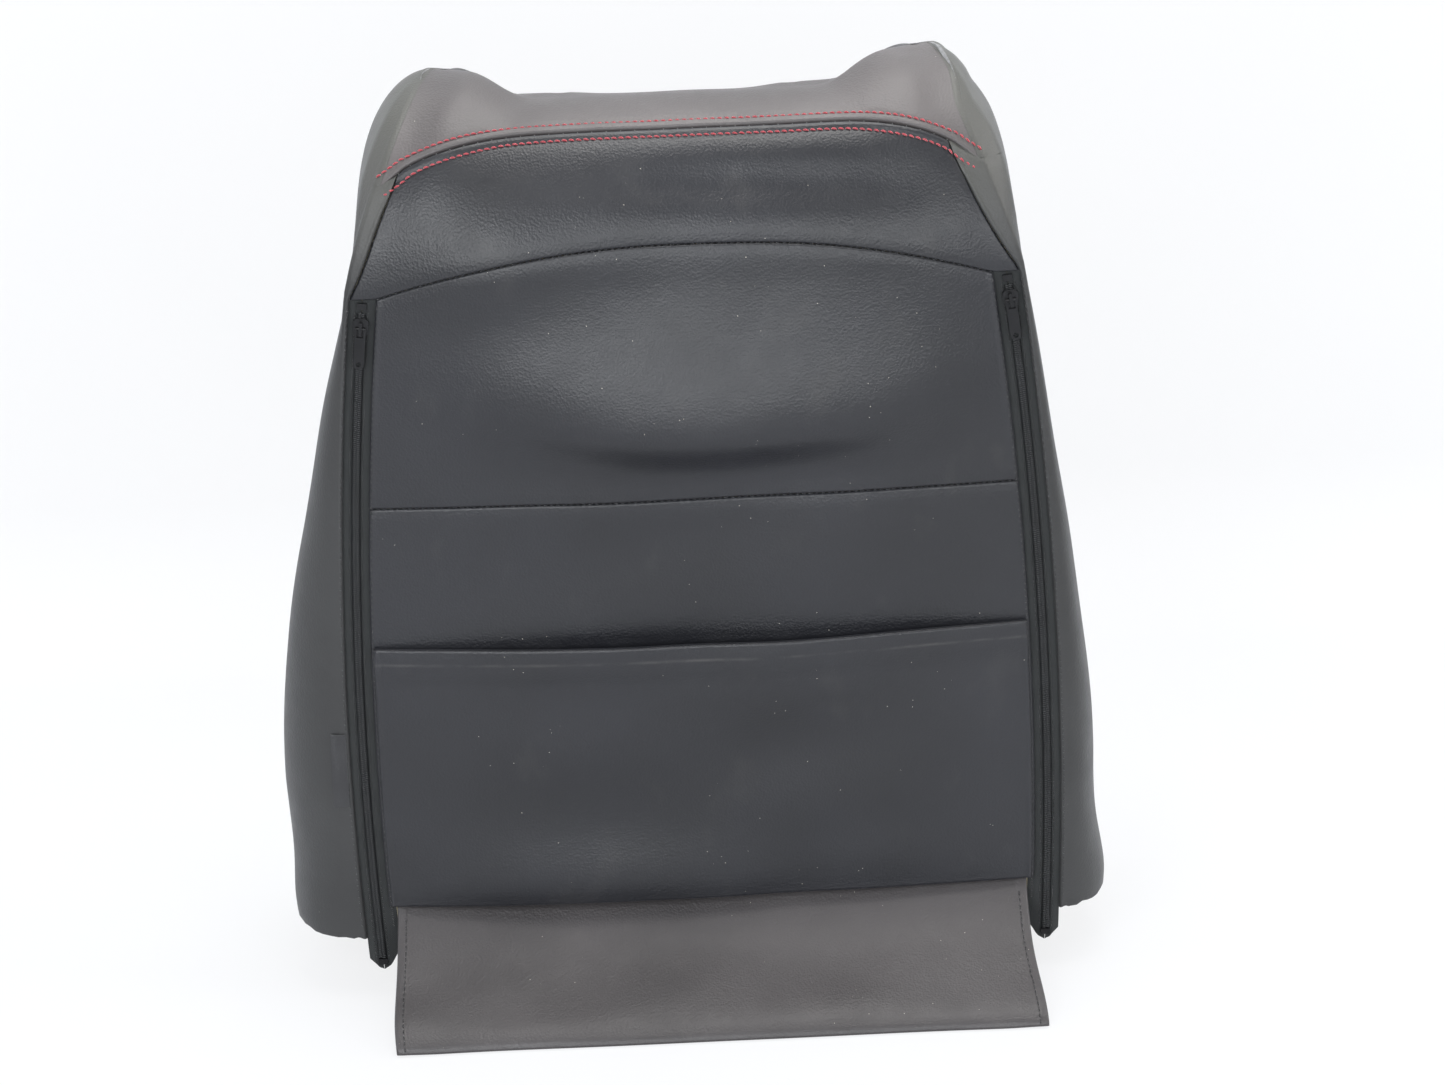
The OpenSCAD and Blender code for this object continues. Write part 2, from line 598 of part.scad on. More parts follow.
// ---- foam ----
top_xs = [for (i = [0:2:8]) seam_xs[i]];
half_stations = concat([for (x = concat(top_xs, steps(valley_x, crest_end_x, 3))) x / crest_end_x * s_in],
    side_stations, steps(lerp(s_nose, s_valley, 1 / 3), s_valley, 2), [for (i = [4:-1:0]) front_s(top_xs[i])]);
foam_levels = [-0.01, 0.1, 0.2, 0.32, 0.46, 0.6, 0.74, 0.88, 1, 1.15, 1.3, 1.45, 1.6, 1.74, 1.87, 1.96];
module foam_loft() {
    h = len(half_stations) - 1;
    stations = concat(half_stations, [for (i = [h - 1:-1:1]) 2 - half_stations[i]]);
    n = len(stations);
    m = len(foam_levels);
    points = [for (q = foam_levels) for (s = stations) skin(s, q, foam_inset)];
    base = [[for (i = [0:n - 1]) i]];
    walls = [for (j = [0:m - 2]) for (i = [0:n - 1]) let (a = j * n + i, b = j * n + (i + 1) % n)
        for (f = [[a, a + n, b + n], [a, b + n, b]]) f];
    top = (m - 1) * n;
    right = [for (i = [0:h / 2 - 1]) let (a = top + i, b = top + i + 1, c = top + h - i - 1, d = top + h - i)
        for (f = [[a, d, c], [a, c, b]]) if (b != c || f != [a, c, b]) f];
    left = [for (i = [0:h / 2 - 1])
        let (a = top + h + i, b = a + 1, d = top + (n - i) % n, c = top + n - i - 1)
        for (f = [[a, d, c], [a, c, b]]) if (b != c || f != [a, c, b]) f];
    polyhedron(points, concat(base, walls, right, left), convexity = 8);
}
module bores() {
    for (x = [-bore_pitch / 2, bore_pitch / 2])
        translate([x, bore_y, tube_z - 10]) cylinder(h = crest_z, r = bore_r);
}
module foam_pad() {
    far = 2 * rear_y;
    color([0.80, 0.76, 0.62]) difference() {
        foam_loft();
        // Room for the seat's steel frame, open at the base and behind
        translate([0, -cavity_front, 0]) rotate([90, 0, 0]) linear_extrude(far)
            polygon([[-cavity_half_w, -1], [cavity_half_w, -1],
                     [cavity_top_half_w, cavity_z], [-cavity_top_half_w, cavity_z]]);
        // Flat base, open at its rear corners as far up as the side panels' cut edges
        translate([-hip_half_w, -far, -far]) cube([2 * hip_half_w, 2 * far, far]);
        for (side = [-1, 1]) translate([side * (corner_half_w + hip_half_w / 2) - hip_half_w / 2, -far, -1])
            cube([hip_half_w, far + corner_front, corner_z + 1]);
        translate([-mouth_half_w, -far, -1]) cube([2 * mouth_half_w, far - cavity_front, mouth_z + 1]);
        translate([-tube_half_w, -far, cavity_z - 1])
            cube([2 * tube_half_w, far + tube_front, tube_z - cavity_z + 1]);
        // Slots for the tie-down wires
        for (side = [-1, 1]) translate([side * insert_half_w - slot_w / 2, slot_y, slot_low_z])
            cube([slot_w, far, slot_high_z - slot_low_z]);
        bores();
    }
}

// ---- tie-down: the cover's wire is ringed to the foam's wire in each slot ----
wire_l = slot_high_z - slot_low_z - 8;
module tie_wire(y) color([0.6, 0.61, 0.63])
    translate([insert_half_w, y, slot_low_z + 4]) cylinder(h = wire_l, r = wire_r);
module right_foam_wire() tie_wire(wire_y);
module left_foam_wire() on_left() tie_wire(wire_y);
module right_cover_wire() tie_wire(wire_y + wire_pitch);
module left_cover_wire() on_left() tie_wire(wire_y + wire_pitch);
module listing_strip() color([0.85, 0.85, 0.82]) {
    y0 = ring_y + ring_inner_r + 2 * ring_r + lie_gap;
    translate([insert_half_w - listing_t / 2, y0, slot_low_z + 4])
        cube([listing_t, valley_y - panel_t - lie_gap - y0, wire_l]);
}
module right_listing_strip() listing_strip();
module left_listing_strip() on_left() listing_strip();
module hog_rings() color([0.65, 0.66, 0.68])
    for (side = [-1, 1]) for (i = [0:ring_count - 1])
        translate([side * insert_half_w, ring_y,
                   lerp(slot_low_z + 30, slot_high_z - 30, i / (ring_count - 1))])
            rotate_extrude() translate([ring_inner_r + ring_r, 0]) circle(r = ring_r);

foam_pad();
crown_panel();
rear_upper_panel();
rear_middle_panel();
rear_lower_panel();
left_side_panel();
right_side_panel();
left_bolster_panel();
right_bolster_panel();
front_insert_upper();
front_insert_middle();
front_insert_lower();
pocket_panel();
closing_flap();
flap_edge_strip();
left_zip_inner_tape();
right_zip_inner_tape();
left_zip_outer_tape();
right_zip_outer_tape();
left_zip_coil();
right_zip_coil();
zip_end_stops();
left_zip_slider();
right_zip_slider();
left_zip_pull();
right_zip_pull();
side_tag();
left_foam_wire();
right_foam_wire();
left_cover_wire();
right_cover_wire();
left_listing_strip();
right_listing_strip();
hog_rings();
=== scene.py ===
"""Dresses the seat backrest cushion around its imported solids.

The cushion is a black leatherette trim cover over a moulded foam pad: rear panels between two
zips, a map pocket, a closing flap, side and bolster panels, a three-part front insert and the
hidden tie-down wires. Lengths inside the classes are millimetres in the row frame (+X right seen
from behind, -Y out of the rear face, +Z up); meshes are made in metres.
"""

import logging
import math
from dataclasses import dataclass
from enum import Enum
from typing import Callable, Sequence

import bpy
import numpy as np
from mathutils import Matrix, Vector
from mathutils.kdtree import KDTree


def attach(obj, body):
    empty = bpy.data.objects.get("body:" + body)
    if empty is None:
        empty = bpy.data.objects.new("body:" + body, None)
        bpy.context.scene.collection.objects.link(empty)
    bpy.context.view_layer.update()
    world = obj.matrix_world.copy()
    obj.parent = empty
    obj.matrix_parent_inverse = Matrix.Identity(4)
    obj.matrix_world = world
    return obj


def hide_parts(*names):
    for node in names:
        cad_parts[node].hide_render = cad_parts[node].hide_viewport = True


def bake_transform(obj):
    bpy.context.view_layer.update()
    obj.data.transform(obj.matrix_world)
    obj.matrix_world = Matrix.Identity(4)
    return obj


MM = 0.001
LOG = logging.getLogger("backrest")
Array = np.ndarray
Node = bpy.types.Node
Socket = bpy.types.NodeSocket
Material = bpy.types.Material
SIDES = ((1, "right"), (-1, "left"))


# ---------------------------------------------------------------- curves


def lerp(a: Array, b: Array, t: Array) -> Array:
    """Value at share t of the way from a to b."""
    return a + (b - a) * t


def ease(t: Array) -> Array:
    """Smooth step from 0 to 1, flat outside that span."""
    t = np.clip(t, 0.0, 1.0)
    return t * t * (3 - 2 * t)


def bezier(points: Sequence[tuple[Array, Array]], t: Array) -> tuple[Array, Array]:
    """Point of a plane cubic curve.

    Args:
        points: The four control points, each a pair of coordinates.
        t: Places along the curve, from 0 to 1.

    Returns:
        The two coordinates.
    """
    weights = ((1 - t) ** 3, 3 * (1 - t) ** 2 * t, 3 * (1 - t) * t * t, t**3)
    first, second = (sum(w * p[k] for w, p in zip(weights, points)) for k in (0, 1))
    return first, second


@dataclass(frozen=True)
class Hump:
    """A smooth bump or dent: its rise, its middle across and in height, its spreads and slant."""

    rise: float
    x0: float
    z0: float
    wide: float
    high: float
    turn: float = 0.0

    def at(self, x: Array, z: Array) -> Array:
        """How far the bump stands out at each place, in millimetres."""
        a = math.radians(self.turn)
        u = (x - self.x0) * math.cos(a) + (z - self.z0) * math.sin(a)
        v = -(x - self.x0) * math.sin(a) + (z - self.z0) * math.cos(a)
        return self.rise * np.exp(-((u / self.wide) ** 2) - (v / self.high) ** 2)


def waves(x: Array, y: Array, seed: int, count: int = 6) -> Array:
    """Sum of a few slanting waves, a seeded stand-in for the unevenness of sewn work.

    Args:
        x: First coordinate, in waves.
        y: Second coordinate, in waves.
        seed: Choice of the waves.
        count: How many waves are added.

    Returns:
        Values of about -1 to 1.
    """
    draw = np.random.default_rng(seed)
    total = np.zeros(np.broadcast(x, y).shape)
    for _ in range(count):
        angle, phase, rate = draw.uniform(0, math.tau), draw.uniform(0, math.tau), draw.uniform(0.6, 1.7)
        total = total + np.sin(rate * math.tau * (x * math.cos(angle) + y * math.sin(angle)) + phase)
    return total / count


def level_line(value: float) -> Callable[[Array], Array]:
    """A seam line of one value all along."""
    return lambda s: value + 0 * s


def nearest_tree(points: Array) -> KDTree:
    """Search tree over a list of points."""
    tree = KDTree(len(points))
    for index, place in enumerate(points):
        tree.insert(place, index)
    tree.balance()
    return tree


# ---------------------------------------------------------------- the cushion's form


@dataclass(frozen=True)
class CushionForm:
    """The cover's outer face, as stations round the section and levels up it."""

    hip_half_w: float = 277.0
    hip_z: float = 140.0
    base_half_w: float = 270.0
    neck_half_w: float = 223.0
    neck_z: float = 498.0
    crest_z: float = 602.0
    shoulder_rise: float = 15.0
    crest_half_w: float = 165.0
    crest_back: float = 12.0
    shoulder_forward: float = 34.0
    rear_y: float = 84.0
    nose_y: float = 95.0
    rear_crown: float = 7.0
    rear_fullness: float = 9.0
    fullness_z: float = 432.0
    fullness_span: float = 88.0
    insert_half_w: float = 158.0
    valley_y: float = 50.0
    insert_crown: float = 7.0
    waist_power: float = 1.35
    dome_power: float = 1.1
    corner_depth: float = 1.5
    corner_pull: float = 0.55
    side_pull: float = 0.72
    nose_round: float = 0.8
    nose_pull: float = 24.0
    valley_pull: float = 12.0
    shoulder_from: float = 92.0
    shoulder_ramp: float = 42.0
    zip_half_w: float = 228.0
    zip_bow_z: float = 150.0
    zip_bow_r: float = 2688.0
    zip_opening: float = 17.0
    s_in: float = 0.30
    s_out: float = 0.34
    s_side: float = 0.44
    s_nose: float = 0.62
    s_valley: float = 0.80
    s_corner: float = 0.295
    crown_seam_z: float = 588.5
    crown_seam_drop: float = 15.0
    crown_power: float = 5.2
    arch_seam_z: float = 522.5
    arch_seam_drop: float = 30.5
    straight_seam_z: float = 351.0
    bottom_seam_z: float = 66.0
    seam_power: float = 2.4
    shoulder_tuck: float = 16.0
    crease_s: float = 0.337
    left_drift: float = 0.017
    right_crest: float = 8.0
    right_crest_x: float = 110.0
    right_crest_z: float = 588.0
    right_lift: float = 3.0
    front_roll: float = 5.0
    roll_low: float = 1.42
    roll_span: float = 0.53
    keel_z: float = 397.0
    keel_bow: float = 24.0
    keel_span: float = 165.0
    dome_x: float = 30.0
    dome_rise: float = 15.0
    dome_above: float = 51.0
    dome_below: float = 20.0
    dome_wide: float = 186.0
    sag: Hump = Hump(-3.0, 20, 368, 170, 16)
    shelf: tuple[Hump, ...] = (
        Hump(-6.0, 70, 556, 130, 14, -2),
        Hump(10.0, -142, 509, 62, 31, 12),
        Hump(3.0, 150, 508, 60, 26, -14),
    )
    lean_z: tuple[float, ...] = (50, 125, 200, 280, 350, 430, 510, 570, 600, 616)
    left_lean: tuple[float, ...] = (-7, -9, -11, -9, -2, 1, 10, 6, 6, 6)
    right_lean: tuple[float, ...] = (-9, -12, -11, -11, -10, -8, -6, -2, -6, -18)

    @property
    def side_z(self) -> float:
        """Height where the upper panel's side seams start."""
        return self.arch_seam_z - self.arch_seam_drop

    @property
    def crown_end_z(self) -> float:
        """Height of the crown seam's ends."""
        return self.crown_seam_z - self.crown_seam_drop

    @property
    def seam_fall(self) -> float:
        """How far the crown seam falls from the upper panel's corner to the crease."""
        return self.crown_power * self.crown_seam_drop * (self.crease_s / self.s_corner - 1)

    def half_width(self, z: Array) -> Array:
        """Half width of the body at a height."""
        low = self.hip_half_w - (self.hip_half_w - self.base_half_w) * ((self.hip_z - z) / self.hip_z) ** 2
        share = np.clip((z - self.hip_z) / (self.neck_z - self.hip_z), 0, None) ** self.waist_power
        return np.where(z < self.hip_z, low, self.hip_half_w - (self.hip_half_w - self.neck_half_w) * share)

    def zip_x(self, z: Array) -> Array:
        """Distance from the middle to a zip's centre line."""
        return self.zip_half_w - self.zip_bow_r + np.sqrt(self.zip_bow_r**2 - (z - self.zip_bow_z) ** 2)

    def section(self, s: Array, z: Array) -> tuple[Array, Array]:
        """Point of the level section.

        Args:
            s: Station, from 0 in the middle of the rear to 1 in the middle of the front; below 0
                and above 1 lies the left half.
            z: Height, at most the neck's.

        Returns:
            The point's x and y.
        """
        side = np.where((s < 0) ^ (s > 1), -1.0, 1.0)
        t = np.abs(s)
        t = np.where(t > 1, 2 - t, t)
        centre, w = self.zip_x(z), self.half_width(z)
        x_in, x_out = centre - self.zip_opening / 2, centre + self.zip_opening / 2
        a = w - x_out
        rear, nose, turn = -self.rear_y, self.nose_y, -self.rear_y + self.corner_depth * a
        fuller = np.exp(-(((z - self.fullness_z) / self.fullness_span) ** 2))
        crown = self.rear_crown + self.rear_fullness * fuller
        across = t / self.s_in
        spans = [
            (x_in * across, rear - crown * (1 - across**2)),
            (lerp(x_in, x_out, (t - self.s_in) / (self.s_out - self.s_in)), rear + 0 * t),
            bezier(
                [
                    (x_out, rear),
                    (x_out + self.corner_pull * a, rear),
                    (w, lerp(turn, rear, self.corner_pull)),
                    (w, turn),
                ],
                (t - self.s_out) / (self.s_side - self.s_out),
            ),
            bezier(
                [
                    (w, turn),
                    (w, lerp(turn, nose, self.side_pull)),
                    (lerp(x_in, w, self.nose_round), nose),
                    (x_in, nose),
                ],
                (t - self.s_side) / (self.s_nose - self.s_side),
            ),
            bezier(
                [
                    (x_in, nose),
                    (x_in - self.nose_pull, nose),
                    (self.insert_half_w + self.valley_pull, self.valley_y + self.nose_pull),
                    (self.insert_half_w, self.valley_y),
                ],
                (t - self.s_nose) / (self.s_valley - self.s_nose),
            ),
        ]
        share = (t - self.s_valley) / (1 - self.s_valley)
        front = self.valley_y + self.insert_crown * (1 - (1 - share) ** 2)
        spans.append((self.insert_half_w * (1 - share), front))
        ends = (self.s_in, self.s_out, self.s_side, self.s_nose, self.s_valley)
        limits = [t <= end for end in ends] + [t > self.s_valley]
        x = np.select(limits, [p[0] for p in spans])
        y = np.select(limits, [p[1] + 0 * t for p in spans])
        return side * x, y

    def crest_x(self, s: Array) -> Array:
        """Place on the crest line that a station runs up to."""
        neck = np.full(np.shape(s), self.neck_z)
        return self.section(np.asarray(s, float), neck)[0] * self.crest_half_w / self.neck_half_w

    def crest_height(self, x: Array) -> Array:
        """Height of the crest line."""
        return self.crest_z + self.shoulder_rise * ease((np.abs(x) - self.shoulder_from) / self.shoulder_ramp)

    def crest_y(self, x: Array) -> Array:
        """Depth of the crest line."""
        share = ease((np.abs(x) - self.shoulder_from) / self.shoulder_ramp / 1.6)
        return -self.crest_back + self.shoulder_forward * share

    def level(self, s: Array, z: Array) -> Array:
        """Level of a height at a station."""
        top = self.crest_height(self.crest_x(s)) - self.neck_z
        dome = 1 + np.degrees(np.arcsin(np.clip((z - self.neck_z) / top, 0, 1))) / 90
        return np.where(z <= self.neck_z, z / self.neck_z, dome)

    def tuck(self, s: Array, q: Array) -> Array:
        """How far the cover is drawn in at the crease beside a shoulder lobe."""
        t = np.abs(np.where(s > 1, s - 2, s))
        side = np.where((s < 0) ^ (s > 1), -1.0, 1.0)
        share = ease((t - 0.20) / 0.14) * (1 - ease((t - 0.36) / 0.14))
        return side * self.shoulder_tuck * share * np.sin(math.pi * np.clip(q - 1, 0, 1))

    def shell_point(self, s: Array, q: Array) -> Array:
        """Point of the plain form, before the sewn cover's own unevenness."""
        z = np.clip(q, None, 1) * self.neck_z
        x, y = self.section(s, z)
        turn = np.radians(np.clip(q - 1, 0, 1) * 90)
        c = 1 - np.cos(turn)
        top = self.crest_x(s)
        x = lerp(x, top, c**self.dome_power) - self.tuck(s, q)
        y = lerp(y, self.crest_y(top), c)
        z = z + (self.crest_height(top) - self.neck_z) * np.sin(turn)
        return np.stack([x, y, z], -1)

    def point(self, s: Array, q: Array) -> Array:
        """Point of the cover as sewn and slumped, with its dents, domes and lean.

        Args:
            s: Station.
            q: Level, 0 at the base, 1 at the neck and 2 on the crest line.

        Returns:
            Points with x, y and z in millimetres.
        """
        s, q = np.broadcast_arrays(np.asarray(s, float), np.asarray(q, float))
        p = self.shell_point(s, q)
        t = np.abs(s)
        t = np.where(t > 1, 2 - t, t)
        x, y, z = p[..., 0], p[..., 1], p[..., 2]
        lobes = ease((t - self.s_out) / (self.s_side - self.s_out)) * (1 - ease((t - self.s_nose) / 0.1))
        side = np.where(x < 0, -1.0, 1.0)
        room = np.abs(x) - np.abs(self.shell_point(self.crease_s + 0 * s, q)[..., 0])
        inward = np.minimum(-side * self.lean(x, z), 0.8 * room.clip(0))
        x = x - side * lobes * inward
        x = x + self.right_crest * ease((x - self.right_crest_x) / 50) * ease((z - self.right_crest_z) / 24)
        z = z + self.right_lift * ease((x - 60) / 100) * ease((z - 540) / 60)
        roll = ease((t - self.s_nose - 0.02) / 0.06) * (1 - ease((t - 0.88) / 0.06))
        roll = roll * np.sin(math.pi * np.clip((q - self.roll_low) / self.roll_span, 0, 1))
        z = z + self.front_roll * roll
        rear = np.clip(1 - (t / self.s_in) ** 2, 0, 1)
        y = y - rear * self.rear_relief(x, z)
        return np.stack([x, y, z], -1)

    def lean(self, x: Array, z: Array) -> Array:
        """How far a lobe leans to the right at a height, smoothed between the stated heights."""
        left, right = (
            sum(np.interp(z + shift, self.lean_z, lean) for shift in (-24, -12, 0, 12, 24)) / 5
            for lean in (self.left_lean, self.right_lean)
        )
        return np.where(x < 0, left, right)

    def rear_relief(self, x: Array, z: Array) -> Array:
        """How far the rear face stands out beyond its plain crown, in millimetres."""
        across = x - self.dome_x
        keel = self.keel_z + self.keel_bow * (across / self.keel_span) ** 2
        spread_z = np.where(z > keel, self.dome_above, self.dome_below)
        slope = np.exp(-(((z - keel) / spread_z) ** 2))
        dome = self.dome_rise * slope * np.exp(-((across / self.dome_wide) ** 4))
        shelf = sum(hump.at(x, z) for hump in self.shelf)
        lower = 2.4 * waves(x / 260, z / 210, 4) + 1.2 * waves(x / 120, z / 90, 5)
        return dome + self.sag.at(x, z) + shelf + lower

    def normal(self, s: Array, q: Array) -> Array:
        """Outward normal of the cover at a station and level."""
        ds, dq = 0.002, 0.003
        q = np.asarray(q, float)
        along = self.point(s + ds, q) - self.point(s - ds, q)
        up = self.point(s, np.clip(q + dq, None, 2)) - self.point(s, q - dq)
        n = np.cross(along, up)
        return n / np.linalg.norm(n, axis=-1, keepdims=True)

    def crown_seam(self, s: Array) -> Array:
        """Height of the double-stitched crown seam."""
        share = np.clip(np.abs(s) / self.s_corner, 0, 1)
        return self.crown_seam_z - self.crown_seam_drop * share**self.crown_power

    def crown_path(self, s: Array) -> Array:
        """Height of the crown seam where it runs on past the upper panel and down to the crease."""
        beyond = np.clip((np.abs(s) - self.s_corner) / (self.crease_s - self.s_corner), 0, 1)
        return self.crown_seam(s) - self.seam_fall * beyond

    def beside(self, s: Array, z: Array, distance: float) -> tuple[Array, Array]:
        """Path that runs beside another on the cover.

        Args:
            s: Stations of the first path.
            z: Its heights.
            distance: How far above it the second one runs, in millimetres.

        Returns:
            Points and outward normals of the second path.
        """
        level = self.level(s, z)
        here, n = self.point(s, level), self.normal(s, level)
        across = np.cross(n, np.gradient(here, axis=0))
        target = here + across / np.linalg.norm(across, axis=1, keepdims=True) * distance
        stations = np.linspace(s.min() - 0.02, s.max() + 0.02, 700)
        heights = np.arange(z.min() - 12, z.max() + 12, 0.8)
        near_s, near_z = np.meshgrid(stations, heights)
        near_q = self.level(near_s, near_z)
        cover, normals = (made(near_s, near_q).reshape(-1, 3) for made in (self.point, self.normal))
        tree = nearest_tree(cover)
        found = [tree.find(place)[1] for place in target]
        n = normals[found]
        points = target - n * ((target - cover[found]) * n).sum(1)[:, None]
        return points, n

    def arch_seam(self, s: Array) -> Array:
        """Height of the arched seam."""
        share = np.clip(np.abs(s) / self.s_in, 0, 1)
        return self.arch_seam_z - self.arch_seam_drop * share**self.seam_power

    def upper_edge(self, z: Array, side: Array | int) -> Array:
        """Edge station of the upper panel at a height, on the side of that sign."""
        share = np.clip((z - self.side_z) / (self.crown_end_z - self.side_z), 0, 1)
        drift = np.where(np.asarray(side) < 0, self.left_drift * ease(share / 0.75), 0.0)
        return lerp(self.s_corner, self.s_out, (1 - share) ** 1.6) + drift

    def upper_corner(self, side: int) -> tuple[float, float]:
        """Station and height where the upper panel's side seam meets the crown seam."""
        s = self.s_corner
        for _ in range(12):
            z = float(self.crown_path(np.float64(s)))
            s = float(self.upper_edge(np.float64(z), side))
        return s, z

    def front_station(self, x: Array) -> Array:
        """Station on the front that meets the crest at the same place as x does on the rear."""
        low, high = np.full(np.shape(x), self.s_side), np.ones(np.shape(x))
        neck = np.full(np.shape(x), self.neck_z)
        for _ in range(26):
            middle = (low + high) / 2
            beyond = self.section(middle, neck)[0] > x
            low, high = np.where(beyond, middle, low), np.where(beyond, high, middle)
        return (low + high) / 2


FORM = CushionForm()


# ---------------------------------------------------------------- finishes


class Links:
    """A material's node tree, with short calls for the nodes that the finishes share."""

    def __init__(self, name: str) -> None:
        """Starts an empty material with its output and shader."""
        self.material = bpy.data.materials.new(name)
        self.material.use_nodes = True
        self.tree = self.material.node_tree
        self.tree.nodes.clear()
        self.output = self.tree.nodes.new("ShaderNodeOutputMaterial")
        self.shader = self.tree.nodes.new("ShaderNodeBsdfPrincipled")
        self.tree.links.new(self.shader.outputs[0], self.output.inputs["Surface"])
        self.place = self.tree.nodes.new("ShaderNodeTexCoord").outputs["Object"]

    def node(self, kind: str, **values: object) -> Node:
        """Adds a node.

        Args:
            kind: Blender's name of the node type.
            values: Attributes of the node, or inputs by name with underscores for spaces.

        Returns:
            The node.
        """
        made = self.tree.nodes.new(kind)
        for key, value in values.items():
            if hasattr(made, key):
                setattr(made, key, value)
            else:
                self.give(made.inputs[key.replace("_", " ")], value)
        return made

    def join(self, source: Socket, target: Socket) -> None:
        """Links one socket to another."""
        self.tree.links.new(source, target)

    def give(self, socket: Socket, value: object) -> None:
        """Links a socket to another, or sets it to a number, a vector or an opaque colour."""
        if isinstance(value, Socket):
            self.join(value, socket)
        else:
            short = socket.type == "RGBA" and len(value) < 4
            socket.default_value = (*value, 1.0) if short else value

    def noise(
        self, scale: float, detail: float = 3.0, stretch: tuple[float, float, float] | None = None
    ) -> Socket:
        """Value of a noise pattern with a scale in repeats per metre."""
        place = self.place
        if stretch:
            place = self.node("ShaderNodeMapping", Vector=self.place, Scale=stretch).outputs[0]
        return self.node("ShaderNodeTexNoise", Vector=place, Scale=scale, Detail=detail).outputs[0]

    def bands(self, place: Socket, scale: float, way: str) -> Socket:
        """Value of a pattern of bands across one direction."""
        made = self.node(
            "ShaderNodeTexWave", Vector=place, Scale=scale, wave_type="BANDS", bands_direction=way
        )
        return made.outputs[1]

    def ramp(self, source: Socket, stops: Sequence[tuple[float, Sequence[float]]]) -> Socket:
        """Colour ramp.

        Args:
            source: The value that it reads.
            stops: Places and their colours.

        Returns:
            The colour socket.
        """
        made = self.node("ShaderNodeValToRGB", Fac=source)
        ramp = made.color_ramp
        while len(ramp.elements) < len(stops):
            ramp.elements.new(0.5)
        for element, (place, colour) in zip(ramp.elements, stops):
            element.position = place
            element.color = (*colour[:3], 1.0)
        return made.outputs[0]

    def mottled(
        self, colour: Sequence[float], source: Socket, tones: tuple[float, float], half: float
    ) -> Socket:
        """Colour between a darker and a lighter tone as a value crosses its middle by a half span."""
        places = (0.5 - half, 0.5 + half)
        return self.ramp(source, [(place, tinted(colour, tone)) for place, tone in zip(places, tones)])

    def math(self, operation: str, a: object, b: object = 0.0) -> Socket:
        """Result of a Math node."""
        made = self.node("ShaderNodeMath", operation=operation)
        for socket, value in zip(made.inputs, (a, b)):
            self.give(socket, value)
        return made.outputs[0]

    def mix(self, share: object, a: object, b: object) -> Socket:
        """Mix of two colours."""
        made = self.node("ShaderNodeMix", data_type="RGBA")
        for socket, value in zip((made.inputs[0], made.inputs[6], made.inputs[7]), (share, a, b)):
            self.give(socket, value)
        return made.outputs[2]

    def bump(
        self, height: Socket, distance: float, strength: float = 1.0, under: Socket | None = None
    ) -> Socket:
        """Normal bumped by a height, on top of another bump if one is given."""
        made = self.node("ShaderNodeBump", Height=height, Distance=distance, Strength=strength)
        if under:
            self.join(under, made.inputs["Normal"])
        return made.outputs[0]

    def finish(
        self, colour: object, roughness: object, normal: Socket | None = None, **fixed: float
    ) -> Material:
        """Sets the shader.

        Args:
            colour: Base colour, fixed or a socket.
            roughness: Roughness, fixed or a socket.
            normal: Bumped normal.
            fixed: Other inputs of the shader by name, each one value all over.

        Returns:
            The material.
        """
        self.give(self.shader.inputs["Base Color"], colour)
        self.give(self.shader.inputs["Roughness"], roughness)
        if normal:
            self.join(normal, self.shader.inputs["Normal"])
        for key, value in fixed.items():
            self.shader.inputs[key.replace("_", " ")].default_value = value
        return self.material


def tinted(colour: Sequence[float], tone: float) -> tuple[float, ...]:
    """A colour made darker or lighter, at most white."""
    return tuple(min(1.0, c * tone) for c in colour)


